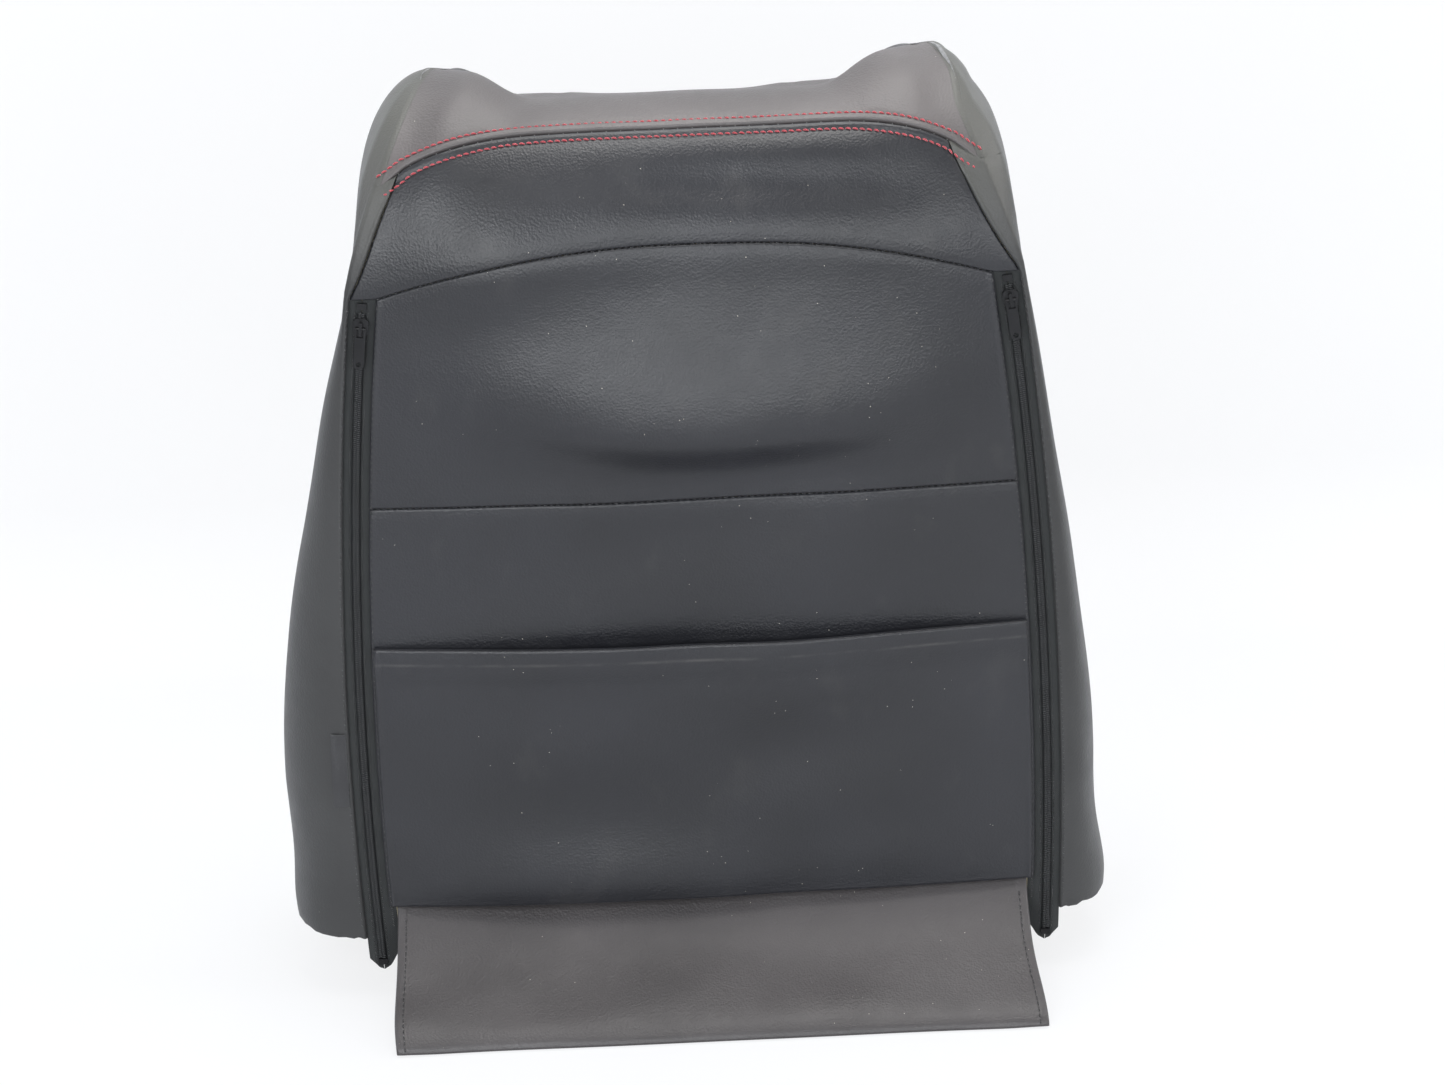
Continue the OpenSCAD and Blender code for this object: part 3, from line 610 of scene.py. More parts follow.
@dataclass(frozen=True)
class Leatherette:
    """Fine-grained satin leatherette with handling marks and a little dust, optional perforations whose holes
    are painted near black as painted shade, and an optional lighter top colour as painted light.
    """

    name: str
    colour: tuple[float, float, float]
    roughness: float = 0.47
    grain: float = 620.0
    dust: float = 1.0
    holes: bool = False
    scuff_z: float | None = None
    top_light_colour: tuple[float, float, float] | None = None
    top_from: float = 0.50
    top_to: float = 0.60
    grain_depth: float = 0.00022
    crease_depth: float = 0.0011
    tones: tuple[float, float] = (0.86, 1.22)
    hole_scale: float = 190.0
    hole_size: float = 0.17
    speck_scale: float = 210.0
    speck_size: float = 0.055
    speck_colour: tuple[float, float, float] = (0.52, 0.49, 0.42)
    haze_colour: tuple[float, float, float] = (0.32, 0.30, 0.27)
    scuff_colour: tuple[float, float, float] = (0.30, 0.28, 0.26)
    scuff_share: float = 0.12

    def make(self) -> Material:
        """Builds the material."""
        k = Links(self.name)
        soft = k.noise(9.0, 2.0)
        wander = k.node("ShaderNodeTexNoise", Vector=k.place, Scale=self.grain * 0.7).outputs[1]
        shift = k.node("ShaderNodeVectorMath", operation="SCALE", Vector=wander)
        shift.inputs["Scale"].default_value = 0.0011
        warped = k.node("ShaderNodeVectorMath", operation="ADD")
        k.join(k.place, warped.inputs[0])
        k.join(shift.outputs[0], warped.inputs[1])
        cells = k.node("ShaderNodeTexVoronoi", Vector=warped.outputs[0], Scale=self.grain).outputs[0]
        fine = k.noise(self.grain * 2.6, 2.0)
        grain = k.math("ADD", k.math("MULTIPLY", cells, 0.8), k.math("MULTIPLY", fine, 0.35))
        normal = k.bump(k.noise(26.0, 3.0), self.crease_depth, 0.5)
        normal = k.bump(grain, self.grain_depth, 0.9, normal)
        colour = k.mottled(self.colour, soft, self.tones, 0.14)
        # Painted light: above top_from the colour blends to a lighter one, for the light falling on the upper
        # part.
        if self.top_light_colour:
            height = k.node("ShaderNodeSeparateXYZ", Vector=k.place).outputs[2]
            share = k.math("DIVIDE", k.math("SUBTRACT", height, self.top_from), self.top_to - self.top_from)
            share = k.math("MINIMUM", k.math("MAXIMUM", share, 0.0), 1.0)
            colour = k.mix(share, colour, self.top_light_colour)
        if self.holes:
            flat = k.node("ShaderNodeMapping", Vector=k.place, Scale=(1, 0, 1)).outputs[0]
            grid = k.node("ShaderNodeTexVoronoi", Vector=flat, Scale=self.hole_scale, Randomness=0.0)
            open_hole = k.math("LESS_THAN", grid.outputs[0], self.hole_size)
            # Painted shade: the perforation holes are painted near black.
            colour = k.mix(open_hole, colour, (0.004, 0.004, 0.004))
            normal = k.bump(k.math("SUBTRACT", 1.0, open_hole), 0.0006, 0.8, normal)
        patches = k.math("GREATER_THAN", k.noise(14.0, 3.0), 0.52)
        specks = k.node(
            "ShaderNodeTexVoronoi", Vector=k.place, Scale=self.speck_scale, Randomness=1.0
        ).outputs[0]
        bits = k.math("MULTIPLY", k.math("LESS_THAN", specks, self.speck_size), patches)
        few = k.math("GREATER_THAN", k.noise(160.0, 0.0), 0.60)
        bits = k.math("MULTIPLY", k.math("MULTIPLY", bits, few), self.dust)
        haze = k.ramp(k.noise(34.0, 5.0, (1.0, 1.0, 0.6)), [(0.60, (0, 0, 0)), (0.85, (1, 1, 1))])
        colour = k.mix(k.math("MULTIPLY", haze, 0.035 * self.dust), colour, self.haze_colour)
        if self.scuff_z is not None:
            height = k.node("ShaderNodeSeparateXYZ", Vector=k.place).outputs[2]
            off = k.math("ABSOLUTE", k.math("SUBTRACT", height, self.scuff_z))
            line = k.math("SUBTRACT", 1.0, k.math("MINIMUM", k.math("MULTIPLY", off, 650.0), 1.0))
            rubbed = k.ramp(k.noise(42.0, 4.0, (1.0, 1.0, 3.0)), [(0.42, (0, 0, 0)), (0.68, (1, 1, 1))])
            scuff = k.math("MULTIPLY", k.math("MULTIPLY", line, rubbed), self.scuff_share)
            colour = k.mix(scuff, colour, self.scuff_colour)
        colour = k.mix(bits, colour, self.speck_colour)
        rough = k.math("ADD", k.math("MULTIPLY", k.noise(60.0, 3.0), 0.16), self.roughness - 0.08)
        rough = k.math("ADD", rough, k.math("MULTIPLY", bits, 0.3))
        return k.finish(colour, rough, normal, Specular_IOR_Level=0.5, Sheen_Weight=0.03, Sheen_Roughness=0.5)


@dataclass(frozen=True)
class Backing:
    """Pale grey fleece laminated to the back of the leatherette."""

    name: str = "fleece_backing"
    colour: tuple[float, float, float] = (0.17, 0.17, 0.175)

    def make(self) -> Material:
        """Builds the material."""
        k = Links(self.name)
        fibres = k.noise(900.0, 5.0, (1.0, 1.0, 0.35))
        colour = k.mottled(self.colour, k.noise(300.0, 4.0), (0.6, 1.25), 0.2)
        return k.finish(colour, 0.95, k.bump(fibres, 0.0006), Sheen_Weight=0.3, Sheen_Roughness=0.6)


@dataclass(frozen=True)
class OpenFoam:
    """Moulded seat foam with a thin skin, small pores, darker handling marks and pits painted darker as
    painted shade.
    """

    name: str = "seat_foam"
    colour: tuple[float, float, float] = (0.62, 0.55, 0.38)

    def make(self) -> Material:
        """Builds the material."""
        k = Links(self.name)
        pores = k.node("ShaderNodeTexVoronoi", Vector=k.place, Scale=420.0).outputs[0]
        large = k.node("ShaderNodeTexVoronoi", Vector=k.place, Scale=90.0).outputs[0]
        pits = k.math("LESS_THAN", large, 0.16)
        colour = k.mottled(self.colour, k.noise(18.0, 4.0), (0.78, 1.12), 0.2)
        # Painted shade: the pits are painted darker where they are pressed in.
        colour = k.mix(k.math("MULTIPLY", pits, 0.5), colour, tinted(self.colour, 0.45))
        normal = k.bump(k.math("SUBTRACT", 1.0, pits), 0.0007, 0.7)
        return k.finish(colour, 0.9, k.bump(pores, 0.0005, 0.7, normal))


@dataclass(frozen=True)
class WovenTape:
    """Dull woven polyester, ribbed along its length, with painted highlight and shade on its weave."""

    name: str
    colour: tuple[float, float, float]
    rib: float = 900.0

    def make(self) -> Material:
        """Builds the material."""
        k = Links(self.name)
        turned = k.node("ShaderNodeMapping", Vector=k.place, Rotation=(0.0, math.radians(45), 0.0)).outputs[0]
        weave = k.math("MAXIMUM", *(k.bands(turned, self.rib * 0.35, way) for way in ("X", "Z")))
        # Painted light and shade: the raised weave is painted lighter and the dips between threads darker.
        colour = k.mix(weave, tinted(self.colour, 0.6), tinted(self.colour, 1.7))
        normal = k.bump(k.noise(1800.0, 2.0), 0.0002, 0.5, k.bump(weave, 0.0003))
        return k.finish(colour, 0.85, normal, Sheen_Weight=0.35, Sheen_Roughness=0.4)


@dataclass(frozen=True)
class Thread:
    """Twisted sewing thread, with painted highlight and shade along its twist."""

    name: str
    colour: tuple[float, float, float]

    def make(self) -> Material:
        """Builds the material."""
        k = Links(self.name)
        turned = k.node("ShaderNodeMapping", Vector=k.place, Rotation=(0.0, math.radians(32), 0.0)).outputs[0]
        ply = k.bands(turned, 420.0, "X")
        # Painted light and shade: the ply ridges are painted lighter and the grooves of the twist darker.
        colour = k.mix(ply, tinted(self.colour, 0.55), tinted(self.colour, 1.25))
        return k.finish(colour, 0.55, k.bump(ply, 0.0002), Sheen_Weight=0.4, Sheen_Roughness=0.35)


@dataclass(frozen=True)
class HardTrim:
    """Plain moulded plastic or lacquered metal with fine scratches."""

    name: str
    colour: tuple[float, float, float]
    metallic: float = 0.0
    roughness: float = 0.4

    def make(self) -> Material:
        """Builds the material."""
        k = Links(self.name)
        marks = k.noise(240.0, 4.0, (1.0, 1.0, 0.12))
        colour = k.mottled(self.colour, k.noise(70.0, 3.0), (0.8, 1.2), 0.15)
        rough = k.math("ADD", k.math("MULTIPLY", marks, 0.25), self.roughness - 0.12)
        return k.finish(colour, rough, k.bump(marks, 0.00006, 0.6), Metallic=self.metallic)


class Kit:
    """Every finish on the cushion, built once; the crown, side and flap leatherettes are the rear's black one
    painted lighter, as painted light.
    """

    def __init__(self) -> None:
        """Builds the materials."""
        # Painted light: pale is the lighter colour that the side panels blend to towards their tops, for the
        # light on the shoulder lobes.
        pale = (0.068, 0.068, 0.061)
        self.rear = Leatherette("rear_leatherette", (0.0082, 0.0086, 0.0114), 0.39).make()
        self.pocket = Leatherette("pocket_leatherette", (0.0086, 0.0090, 0.0118), 0.39, scuff_z=0.2445).make()
        # Painted light: the crown is the rear's black leatherette painted much lighter and browner, for the
        # overhead light on its top.
        self.crown = Leatherette("crown_leatherette_painted_light", (0.069, 0.062, 0.062), 0.46).make()
        # Painted light: the side panels are the rear's black leatherette painted lighter, for the light on
        # their side faces.
        self.side = Leatherette(
            "side_leatherette_painted_light", (0.022, 0.0222, 0.0225), 0.5, dust=0.4, top_light_colour=pale
        ).make()
        # Painted light: the flap is the rear's black leatherette painted lighter and browner, for the light
        # from above on its slope.
        self.flap = Leatherette("flap_leatherette_painted_light", (0.040, 0.036, 0.037), 0.43).make()
        self.front = Leatherette("front_leatherette", (0.027, 0.027, 0.031), 0.48, dust=0.3).make()
        self.insert = Leatherette(
            "perforated_leatherette", (0.025, 0.025, 0.028), 0.55, dust=0.2, holes=True
        ).make()
        self.backing = Backing().make()
        self.foam = OpenFoam().make()
        self.tape = WovenTape("zip_tape", (0.012, 0.0135, 0.0138)).make()
        self.tag = WovenTape("plain_tag", (0.016, 0.016, 0.018), 1300.0).make()
        self.listing = WovenTape("listing_cloth", (0.55, 0.54, 0.50), 700.0).make()
        self.red = Thread("red_thread", (0.40, 0.040, 0.055)).make()
        self.black = Thread("black_thread", (0.007, 0.007, 0.008)).make()
        self.pale = Thread("pale_thread", (0.32, 0.32, 0.32)).make()
        self.coil = HardTrim("zip_coil_plastic", (0.016, 0.017, 0.018), roughness=0.38).make()
        self.slider = HardTrim("black_lacquer", (0.012, 0.012, 0.013), 0.6, 0.32).make()
        self.wire = HardTrim("drawn_wire", (0.55, 0.56, 0.58), 1.0, 0.33).make()
        self.stiffener = HardTrim("stiffener_plastic", (0.015, 0.015, 0.015), roughness=0.5).make()


# ---------------------------------------------------------------- meshes


def new_object(
    name: str,
    vertices: Array,
    faces: Sequence[Sequence[int]],
    materials: Sequence[Material],
    indices: Sequence[int] | None = None,
    sharp: float = 50.0,
) -> bpy.types.Object:
    """Makes a smooth-shaded mesh object.

    Args:
        name: Name of the piece.
        vertices: Points in millimetres.
        faces: Corner indices of each face.
        materials: Material slots.
        indices: Slot of each face.
        sharp: Edges that turn by more than this many degrees stay sharp.

    Returns:
        The object, linked to the scene.
    """
    mesh = bpy.data.meshes.new(name)
    mesh.from_pydata((np.asarray(vertices) * MM).tolist(), [], [list(map(int, f)) for f in faces])
    for material in materials:
        mesh.materials.append(material)
    if indices is not None:
        mesh.polygons.foreach_set("material_index", np.asarray(indices, np.int32))
    mesh.shade_smooth()
    mesh.set_sharp_from_angle(angle=math.radians(sharp))
    mesh.update()
    made = bpy.data.objects.new(name, mesh)
    bpy.context.scene.collection.objects.link(made)
    return made


def grid_faces(rows: int, columns: int, start: int = 0, flip: bool = False) -> Array:
    """Quads of a grid of vertices, row by row."""
    i, j = np.meshgrid(np.arange(rows - 1), np.arange(columns - 1), indexing="ij")
    a = start + i * columns + j
    quads = np.stack([a, a + 1, a + columns + 1, a + columns], -1).reshape(-1, 4)
    return quads[:, ::-1] if flip else quads


def grid_normals(p: Array) -> Array:
    """Normals of a grid of points, pointing to the side from which rows run up and columns right."""
    across, up = np.gradient(p, axis=1), np.gradient(p, axis=0)
    n = np.cross(across, up)
    return n / np.maximum(np.linalg.norm(n, axis=-1, keepdims=True), 1e-9)


def edge_distances(p: Array) -> dict[str, Array]:
    """Distance of each grid point from the grid's four edges, measured along the face."""
    du = np.linalg.norm(np.diff(p, axis=1), axis=-1)
    dv = np.linalg.norm(np.diff(p, axis=0), axis=-1)
    left = np.concatenate([np.zeros((p.shape[0], 1)), np.cumsum(du, 1)], 1)
    low = np.concatenate([np.zeros((1, p.shape[1])), np.cumsum(dv, 0)], 0)
    return {"left": left, "right": left[:, -1:] - left, "low": low, "high": low[-1:] - low}


class Seam(Enum):
    """How an edge of a panel is worked."""

    ROLLED = "turned in along a plain seam"
    FELLED = "laid over and topstitched on both sides"
    TUCKED = "folded over a zip tape"
    DEEP = "drawn into a deep valley"
    CUT = "cut and left raw"
    FLUSH = "butted flush under a crease"

    def profile(self, d: Array) -> Array:
        """How far the outer face stands out at a distance from the edge, in millimetres."""
        if self is Seam.FLUSH:
            return 0 * d
        if self is Seam.CUT:
            return -0.5 * (1 - ease(d / 0.8))
        radius = SEAM_RADIUS[self]
        inside = np.clip(radius - d, 0, radius)
        out = -(radius - np.sqrt(np.maximum(radius**2 - inside**2, 0)))
        if self is Seam.ROLLED:
            out = out - 0.5 * np.exp(-((d / 5.0) ** 2))
        if self is Seam.FELLED:
            ridge = ease(d / 1.6) * (1 - ease((d - 5.0) / 1.5))
            out = out + 0.9 * ridge - 0.55 * np.exp(-(((d - 6.6) / 0.8) ** 2))
        if self is Seam.TUCKED:
            out = out + 0.5 * np.exp(-(((d - 2.2) / 1.6) ** 2))
        if self is Seam.DEEP:
            out = out - 0.5 * np.exp(-((d / 9.0) ** 2))
        return out


SEAM_RADIUS = {Seam.ROLLED: 1.7, Seam.FELLED: 1.1, Seam.TUCKED: 1.6, Seam.DEEP: 1.7}
EDGE_MM = (0.0, 0.25, 0.6, 1.1, 1.7, 2.5, 3.6, 5.0, 6.0, 6.6, 7.2, 8.4, 10.5)


def spread(length: float, step: float) -> Array:
    """Shares from 0 to 1 that are dense near both ends, for an edge of that length."""
    near = np.array([d for d in EDGE_MM if d < length / 2.4]) / length
    inner = np.linspace(near[-1], 1 - near[-1], max(2, int(length * (1 - 2 * near[-1]) / step) + 1))[1:-1]
    return np.concatenate([near, inner, 1 - near[::-1]])


@dataclass
class Panel:
    """One cut piece of the cover: outer face, backing and edges."""

    name: str
    points: Array
    material: Material
    backing: Material
    edges: dict[str, Seam]
    thickness: Array | float = 2.6
    lift: Array | float = 0.0
    fade: float = 12.0
    normals: Array | None = None

    def faces(self) -> tuple[Array, Array]:
        """Outer and inner points."""
        n = grid_normals(self.points) if self.normals is None else self.normals
        distances = edge_distances(self.points)
        shaped = np.zeros(self.points.shape[:2])
        for edge, seam in self.edges.items():
            shaped = shaped + seam.profile(distances[edge])
        for edge, seam in self.edges.items():
            if seam is Seam.FLUSH:
                shaped = shaped * ease((distances[edge] - 1.0) / self.fade)
        out, inside = shaped + self.lift, np.zeros(shaped.shape) + self.thickness
        return self.points + n * out[..., None], self.points - n * inside[..., None]

    def build(self) -> bpy.types.Object:
        """Makes the object."""
        outer, inner = self.faces()
        rows, columns = outer.shape[:2]
        size = rows * columns
        vertices = np.concatenate([outer.reshape(-1, 3), inner.reshape(-1, 3)])
        ring = np.concatenate([
            np.arange(columns),
            np.arange(1, rows) * columns + columns - 1,
            (rows - 1) * columns + np.arange(columns - 2, -1, -1),
            np.arange(rows - 2, 0, -1) * columns,
        ])
        following = np.roll(ring, -1)
        rim = np.stack([ring + size, following + size, following, ring], -1)
        outside, inside = grid_faces(rows, columns), grid_faces(rows, columns, size, flip=True)
        faces = np.concatenate([outside, inside, rim])
        raw = {edge: self.edges.get(edge, Seam.CUT) is Seam.CUT for edge in ("low", "right", "high", "left")}
        counts = (columns - 1, rows - 1, columns - 1, rows - 1)
        worked = np.concatenate([np.full(count, raw[edge]) for edge, count in zip(raw, counts)])
        indices = np.concatenate([np.zeros(len(outside)), np.ones(len(inside)), worked])
        return new_object(self.name, vertices, faces.tolist(), [self.material, self.backing], indices)


def tube_faces(start: int, rings: int, sides: int, flip: bool = False) -> list[list[int]]:
    """Faces of a closed tube whose rings of vertices follow one another from a start."""
    faces = []
    for ring in range(rings - 1):
        for c in range(sides):
            a, b = start + ring * sides + c, start + ring * sides + (c + 1) % sides
            faces.append([a, b, b + sides, a + sides])
    first, last = ([start + ring * sides + c for c in range(sides)] for ring in (0, rings - 1))
    faces += [first[::-1], last]
    return [face[::-1] for face in faces] if flip else faces


@dataclass(frozen=True)
class Stitch:
    """A kind of stitch: its pitch, thread and lie, in millimetres, and the share that is thread."""

    pitch: float
    share: float
    radius: float
    rise: float = 0.35
    slant: float = 0.0


ZIP_STITCH = Stitch(4.3, 0.66, 0.5, 0.4)
SEAM_STITCH = Stitch(4.2, 0.55, 0.42)
NOSE_STITCH = Stitch(4.2, 0.55, 0.4)
CROWN_STITCH = Stitch(4.5, 0.80, 0.70, 0.5, 0.7)
CATCH_STITCH = Stitch(9.0, 0.07, 0.5, 0.2)
BOLSTER_STITCH = Stitch(4.5, 0.80, 0.55, 0.45, 0.6)
HEM_STITCH = Stitch(4.6, 0.74, 0.45, 0.4)
FLAP_STITCH = Stitch(4.6, 0.72, 0.42, 0.35)
COIL_STITCH = Stitch(2.4, 0.8, 0.34, 0.25)


@dataclass
class StitchRow:
    """A row of thread stitches along a path on the cover."""

    name: str
    path: Array
    normals: Array
    material: Material
    stitch: Stitch
    sides: int = 6
    rings: int = 5

    def build(self) -> bpy.types.Object:
        """Makes all the row's stitches as one object."""
        kind = self.stitch
        steps = np.linalg.norm(np.diff(self.path, axis=0), axis=1)
        along = np.concatenate([[0], np.cumsum(steps)])
        count = max(1, int(along[-1] / kind.pitch))
        pitch = along[-1] / count
        vertices, faces = [], []
        turns = np.linspace(0, math.tau, self.sides, endpoint=False)
        t = np.linspace(0, 1, self.rings)
        arc = np.sin(math.pi * t)
        for i in range(count):
            here = (i + 0.5 + (t - 0.5) * kind.share) * pitch
            centre, n = (
                np.stack([np.interp(here, along, line[:, k]) for k in range(3)], 1)
                for line in (self.path, self.normals)
            )
            n /= np.linalg.norm(n, axis=1, keepdims=True)
            tangent = np.gradient(centre, axis=0)
            tangent /= np.linalg.norm(tangent, axis=1, keepdims=True)
            b = np.cross(tangent, n)
            rise, drift = kind.rise * (1.6 * arc[:, None] - 0.9), kind.slant * (t[:, None] - 0.5)
            centre = centre + n * rise + b * drift
            thick = kind.radius * (0.55 + 0.45 * arc)
            ring = n[:, None] * np.cos(turns)[None, :, None] + b[:, None] * np.sin(turns)[None, :, None]
            vertices.append((centre[:, None] + ring * thick[:, None, None]).reshape(-1, 3))
            faces += tube_faces(i * self.rings * self.sides, self.rings, self.sides)
        return new_object(self.name, np.concatenate(vertices), faces, [self.material], sharp=80)


def dressed(
    piece: bpy.types.Object, body: str, slot: str, *nodes: str, fill: float | None = None
) -> bpy.types.Object:
    """Hands a finished piece to the frame.

    Args:
        piece: The piece, in place.
        body: CAD body that it moves with.
        slot: Material slot of the record; not used.
        nodes: CAD nodes that it stands for.
        fill: Fullness, if it is padded; not used.

    Returns:
        The piece.
    """
    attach(piece, body)
    if nodes:
        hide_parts(*nodes)
    LOG.info("%s: %d faces, on %s", piece.name, len(piece.data.polygons), body)
    return piece


# ---------------------------------------------------------------- sub-assemblies


@dataclass
class Laid:
    """A place on the cover that thread and trim follow."""

    points: Array
    normals: Array


def on_cover(s: Array, q: Array, out: float = 0.0) -> Laid:
    """Path on the cover, raised by a distance along its normal."""
    n = FORM.normal(s, q)
    return Laid(FORM.point(s, q) + n * out, n)


def sew(name: str, laid: Laid, thread: Material, stitch: Stitch, slot: str, body: str = "cover") -> None:
    """Sews a row of stitches along a path and hands it to the frame."""
    dressed(StitchRow(name, laid.points, laid.normals, thread, stitch).build(), body, slot)


@dataclass
class RearCover:
    """The three rear panels between the zips, with their crossing seams."""

    kit: Kit
    gap: float = 0.15
    step: float = 5.0

    def panel(
        self,
        name: str,
        low: Callable,
        high: Callable,
        edge: Callable,
        height: float,
        edges: dict[str, Seam],
        shift: float,
    ) -> Panel:
        """Lays out one panel.

        Args:
            name: Name of the piece.
            low: Height of the lower seam at a station.
            high: Height of the upper seam at a station.
            edge: Edge station at a height.
            height: Rough height of the panel, for the spacing of its points.
            edges: How each edge is worked.
            shift: How far inwards of the edge station the panel ends.

        Returns:
            The panel.
        """
        u = spread(2 * FORM.zip_half_w, self.step) * 2 - 1
        v = spread(height, self.step)
        u, v = np.meshgrid(u, v)
        s0 = u * (edge(lerp(low(u * FORM.s_in), high(u * FORM.s_in), v), u) - shift)
        z = lerp(low(s0) + self.gap, high(s0) - self.gap, v)
        points = FORM.point(s0, FORM.level(s0, z))
        return Panel(f"{name}_leather", points, self.kit.rear, self.kit.backing, edges)

    def build(self) -> None:
        """Builds the panels."""
        form = FORM
        zips = {"left": Seam.TUCKED, "right": Seam.TUCKED}
        edge = lambda z, u: form.s_in + 0 * z
        rolled = {"low": Seam.ROLLED, "high": Seam.ROLLED}
        straight, bottom = level_line(form.straight_seam_z), level_line(form.bottom_seam_z)
        upper_edges = {"left": Seam.ROLLED, "right": Seam.ROLLED, **rolled, "high": Seam.FELLED}
        pieces = (
            ("rear_upper_panel", form.arch_seam, form.crown_path, form.upper_edge, 68, upper_edges, 0.0004),
            ("rear_middle_panel", straight, form.arch_seam, edge, 160, {**zips, **rolled}, 0.0),
            ("rear_lower_panel", bottom, straight, edge, 285, {**zips, **rolled, "low": Seam.DEEP}, 0.0),
        )
        for node, *layout in pieces:
            dressed(self.panel(node, *layout).build(), "cover", "rear_leather", node, fill=0.5)
        self.tonal_seams()
        self.zip_stitches()

    def zip_stitches(self) -> None:
        """Topstitches the rear and side panels to the zip tapes."""
        q = np.linspace(FORM.bottom_seam_z - 14, FORM.side_z - 3, 300) / FORM.neck_z
        for side, name in SIDES:
            for station, label in ((FORM.s_in - 0.0025, "rear"), (FORM.s_out + 0.0035, "side")):
                laid = on_cover(side * station + 0 * q, q, 0.25)
                sew(f"{name}_{label}_zip_stitches", laid, self.kit.black, ZIP_STITCH, "rear_leather")

    def tonal_seams(self) -> None:
        """Sews the black seams that hold the panels together."""
        s = np.linspace(-FORM.s_in, FORM.s_in, 160)
        straight = level_line(FORM.straight_seam_z)
        for name, seam in (("arch_seam_thread", FORM.arch_seam), ("straight_seam_thread", straight)):
            laid = on_cover(s, FORM.level(s, seam(s)), -1.5)
            sew(name, laid, self.kit.black, SEAM_STITCH, "rear_leather")


@dataclass
class CrownCover:
    """The crown panel, its double red topstitching and the head restraint bores."""

    kit: Kit
    gap: float = 0.45
    rear_share: float = 0.62
    bore_x: float = 75.0
    bore_y: float = 12.0
    bore_r: float = 11.0
    cutter_z: float = 640.0
    front_angle: float = 45.0
    row_offset: float = 6.5

    def front_level(self, x: Array) -> Array:
        """Level of the crown's front seam."""
        ramp = ease((np.abs(x) - self.bore_x - self.bore_r) / 24)
        ends = ease((np.abs(x) - FORM.crest_x(FORM.s_in)) / 4)
        return 2 - lerp(lerp(self.front_angle, 2.0, ramp), 0.3, ends) / 90

    def grid(self) -> Array:
        """Points of the panel, rows from the rear seam over the crest to the front seam."""
        u, rows = spread(360.0, 4.0) * 2 - 1, spread(115.0, 4.0)
        s, v = np.meshgrid(u * (FORM.crease_s - 0.0003), rows)
        x = FORM.crest_x(s)
        front = np.where(x < 0, -1, 1) * FORM.front_station(np.abs(x) * FORM.neck_half_w / FORM.crest_half_w)
        low = FORM.level(s, FORM.crown_path(s) + self.gap)
        rear = FORM.point(s, lerp(low, 2.0, v / self.rear_share))
        past = (v - self.rear_share) / (1 - self.rear_share)
        ahead = FORM.point(front, lerp(2.0, self.front_level(x) + 0.0015, past))
        return np.where((v <= self.rear_share)[..., None], rear, ahead)

    def build(self) -> None:
        """Builds the panel, cuts the bores and sews the red rows."""
        edges = {"low": Seam.FELLED, "high": Seam.ROLLED, "left": Seam.FLUSH, "right": Seam.FLUSH}
        points = self.grid()
        distance = edge_distances(points)
        ends = np.minimum(distance["left"], distance["right"])
        lift = 0.5 * waves(points[..., 0] / 90, points[..., 2] / 60, 11) * ease(ends / 12)
        thickness = 1.2 + 1.4 * ease((ends - 1) / 12)
        crown = Panel(
            "crown_leather", points, self.kit.crown, self.kit.backing, edges, thickness, lift
        ).build()
        for side in (-1, 1):
            self.cut_bore(crown, side)
        dressed(crown, "cover", "crown_leather", "crown_panel", fill=0.5)
        self.red_rows()

    def cut_bore(self, crown: bpy.types.Object, side: int) -> None:
        """Cuts one bore through the panel."""
        place = (side * self.bore_x * MM, self.bore_y * MM, self.cutter_z * MM)
        bpy.ops.mesh.primitive_cylinder_add(vertices=64, radius=self.bore_r * MM, depth=0.2, location=place)
        cutter = bpy.context.object
        cutter.data.materials.append(self.kit.backing)
        modifier = crown.modifiers.new("bore", "BOOLEAN")
        modifier.object, modifier.operation, modifier.solver = cutter, "DIFFERENCE", "EXACT"
        apply_modifiers(crown)
        bpy.data.objects.remove(cutter)

    def red_rows(self) -> None:
        """Sews a red row on each side of the crown seam, and the grey catches in its gap."""
        s = np.linspace(-FORM.crease_s + 0.001, FORM.crease_s - 0.001, 500)
        for name, offset, beyond in (("upper_red_row", 1.0, 0.0), ("lower_red_row", -1.0, 0.009)):
            along = s * (1 + beyond / FORM.crease_s)
            fall = FORM.seam_fall * (np.abs(along) - FORM.crease_s).clip(0) / (FORM.crease_s - FORM.s_corner)
            path, normals = FORM.beside(along, FORM.crown_path(along) - fall, offset * self.row_offset)
            sew(name, Laid(path + 0.35 * normals, normals), self.kit.red, CROWN_STITCH, "crown_leather")
        laid = on_cover(s, FORM.level(s, FORM.crown_path(s)), -1.0)
        sew("crown_seam_catches", laid, self.kit.pale, CATCH_STITCH, "crown_leather")


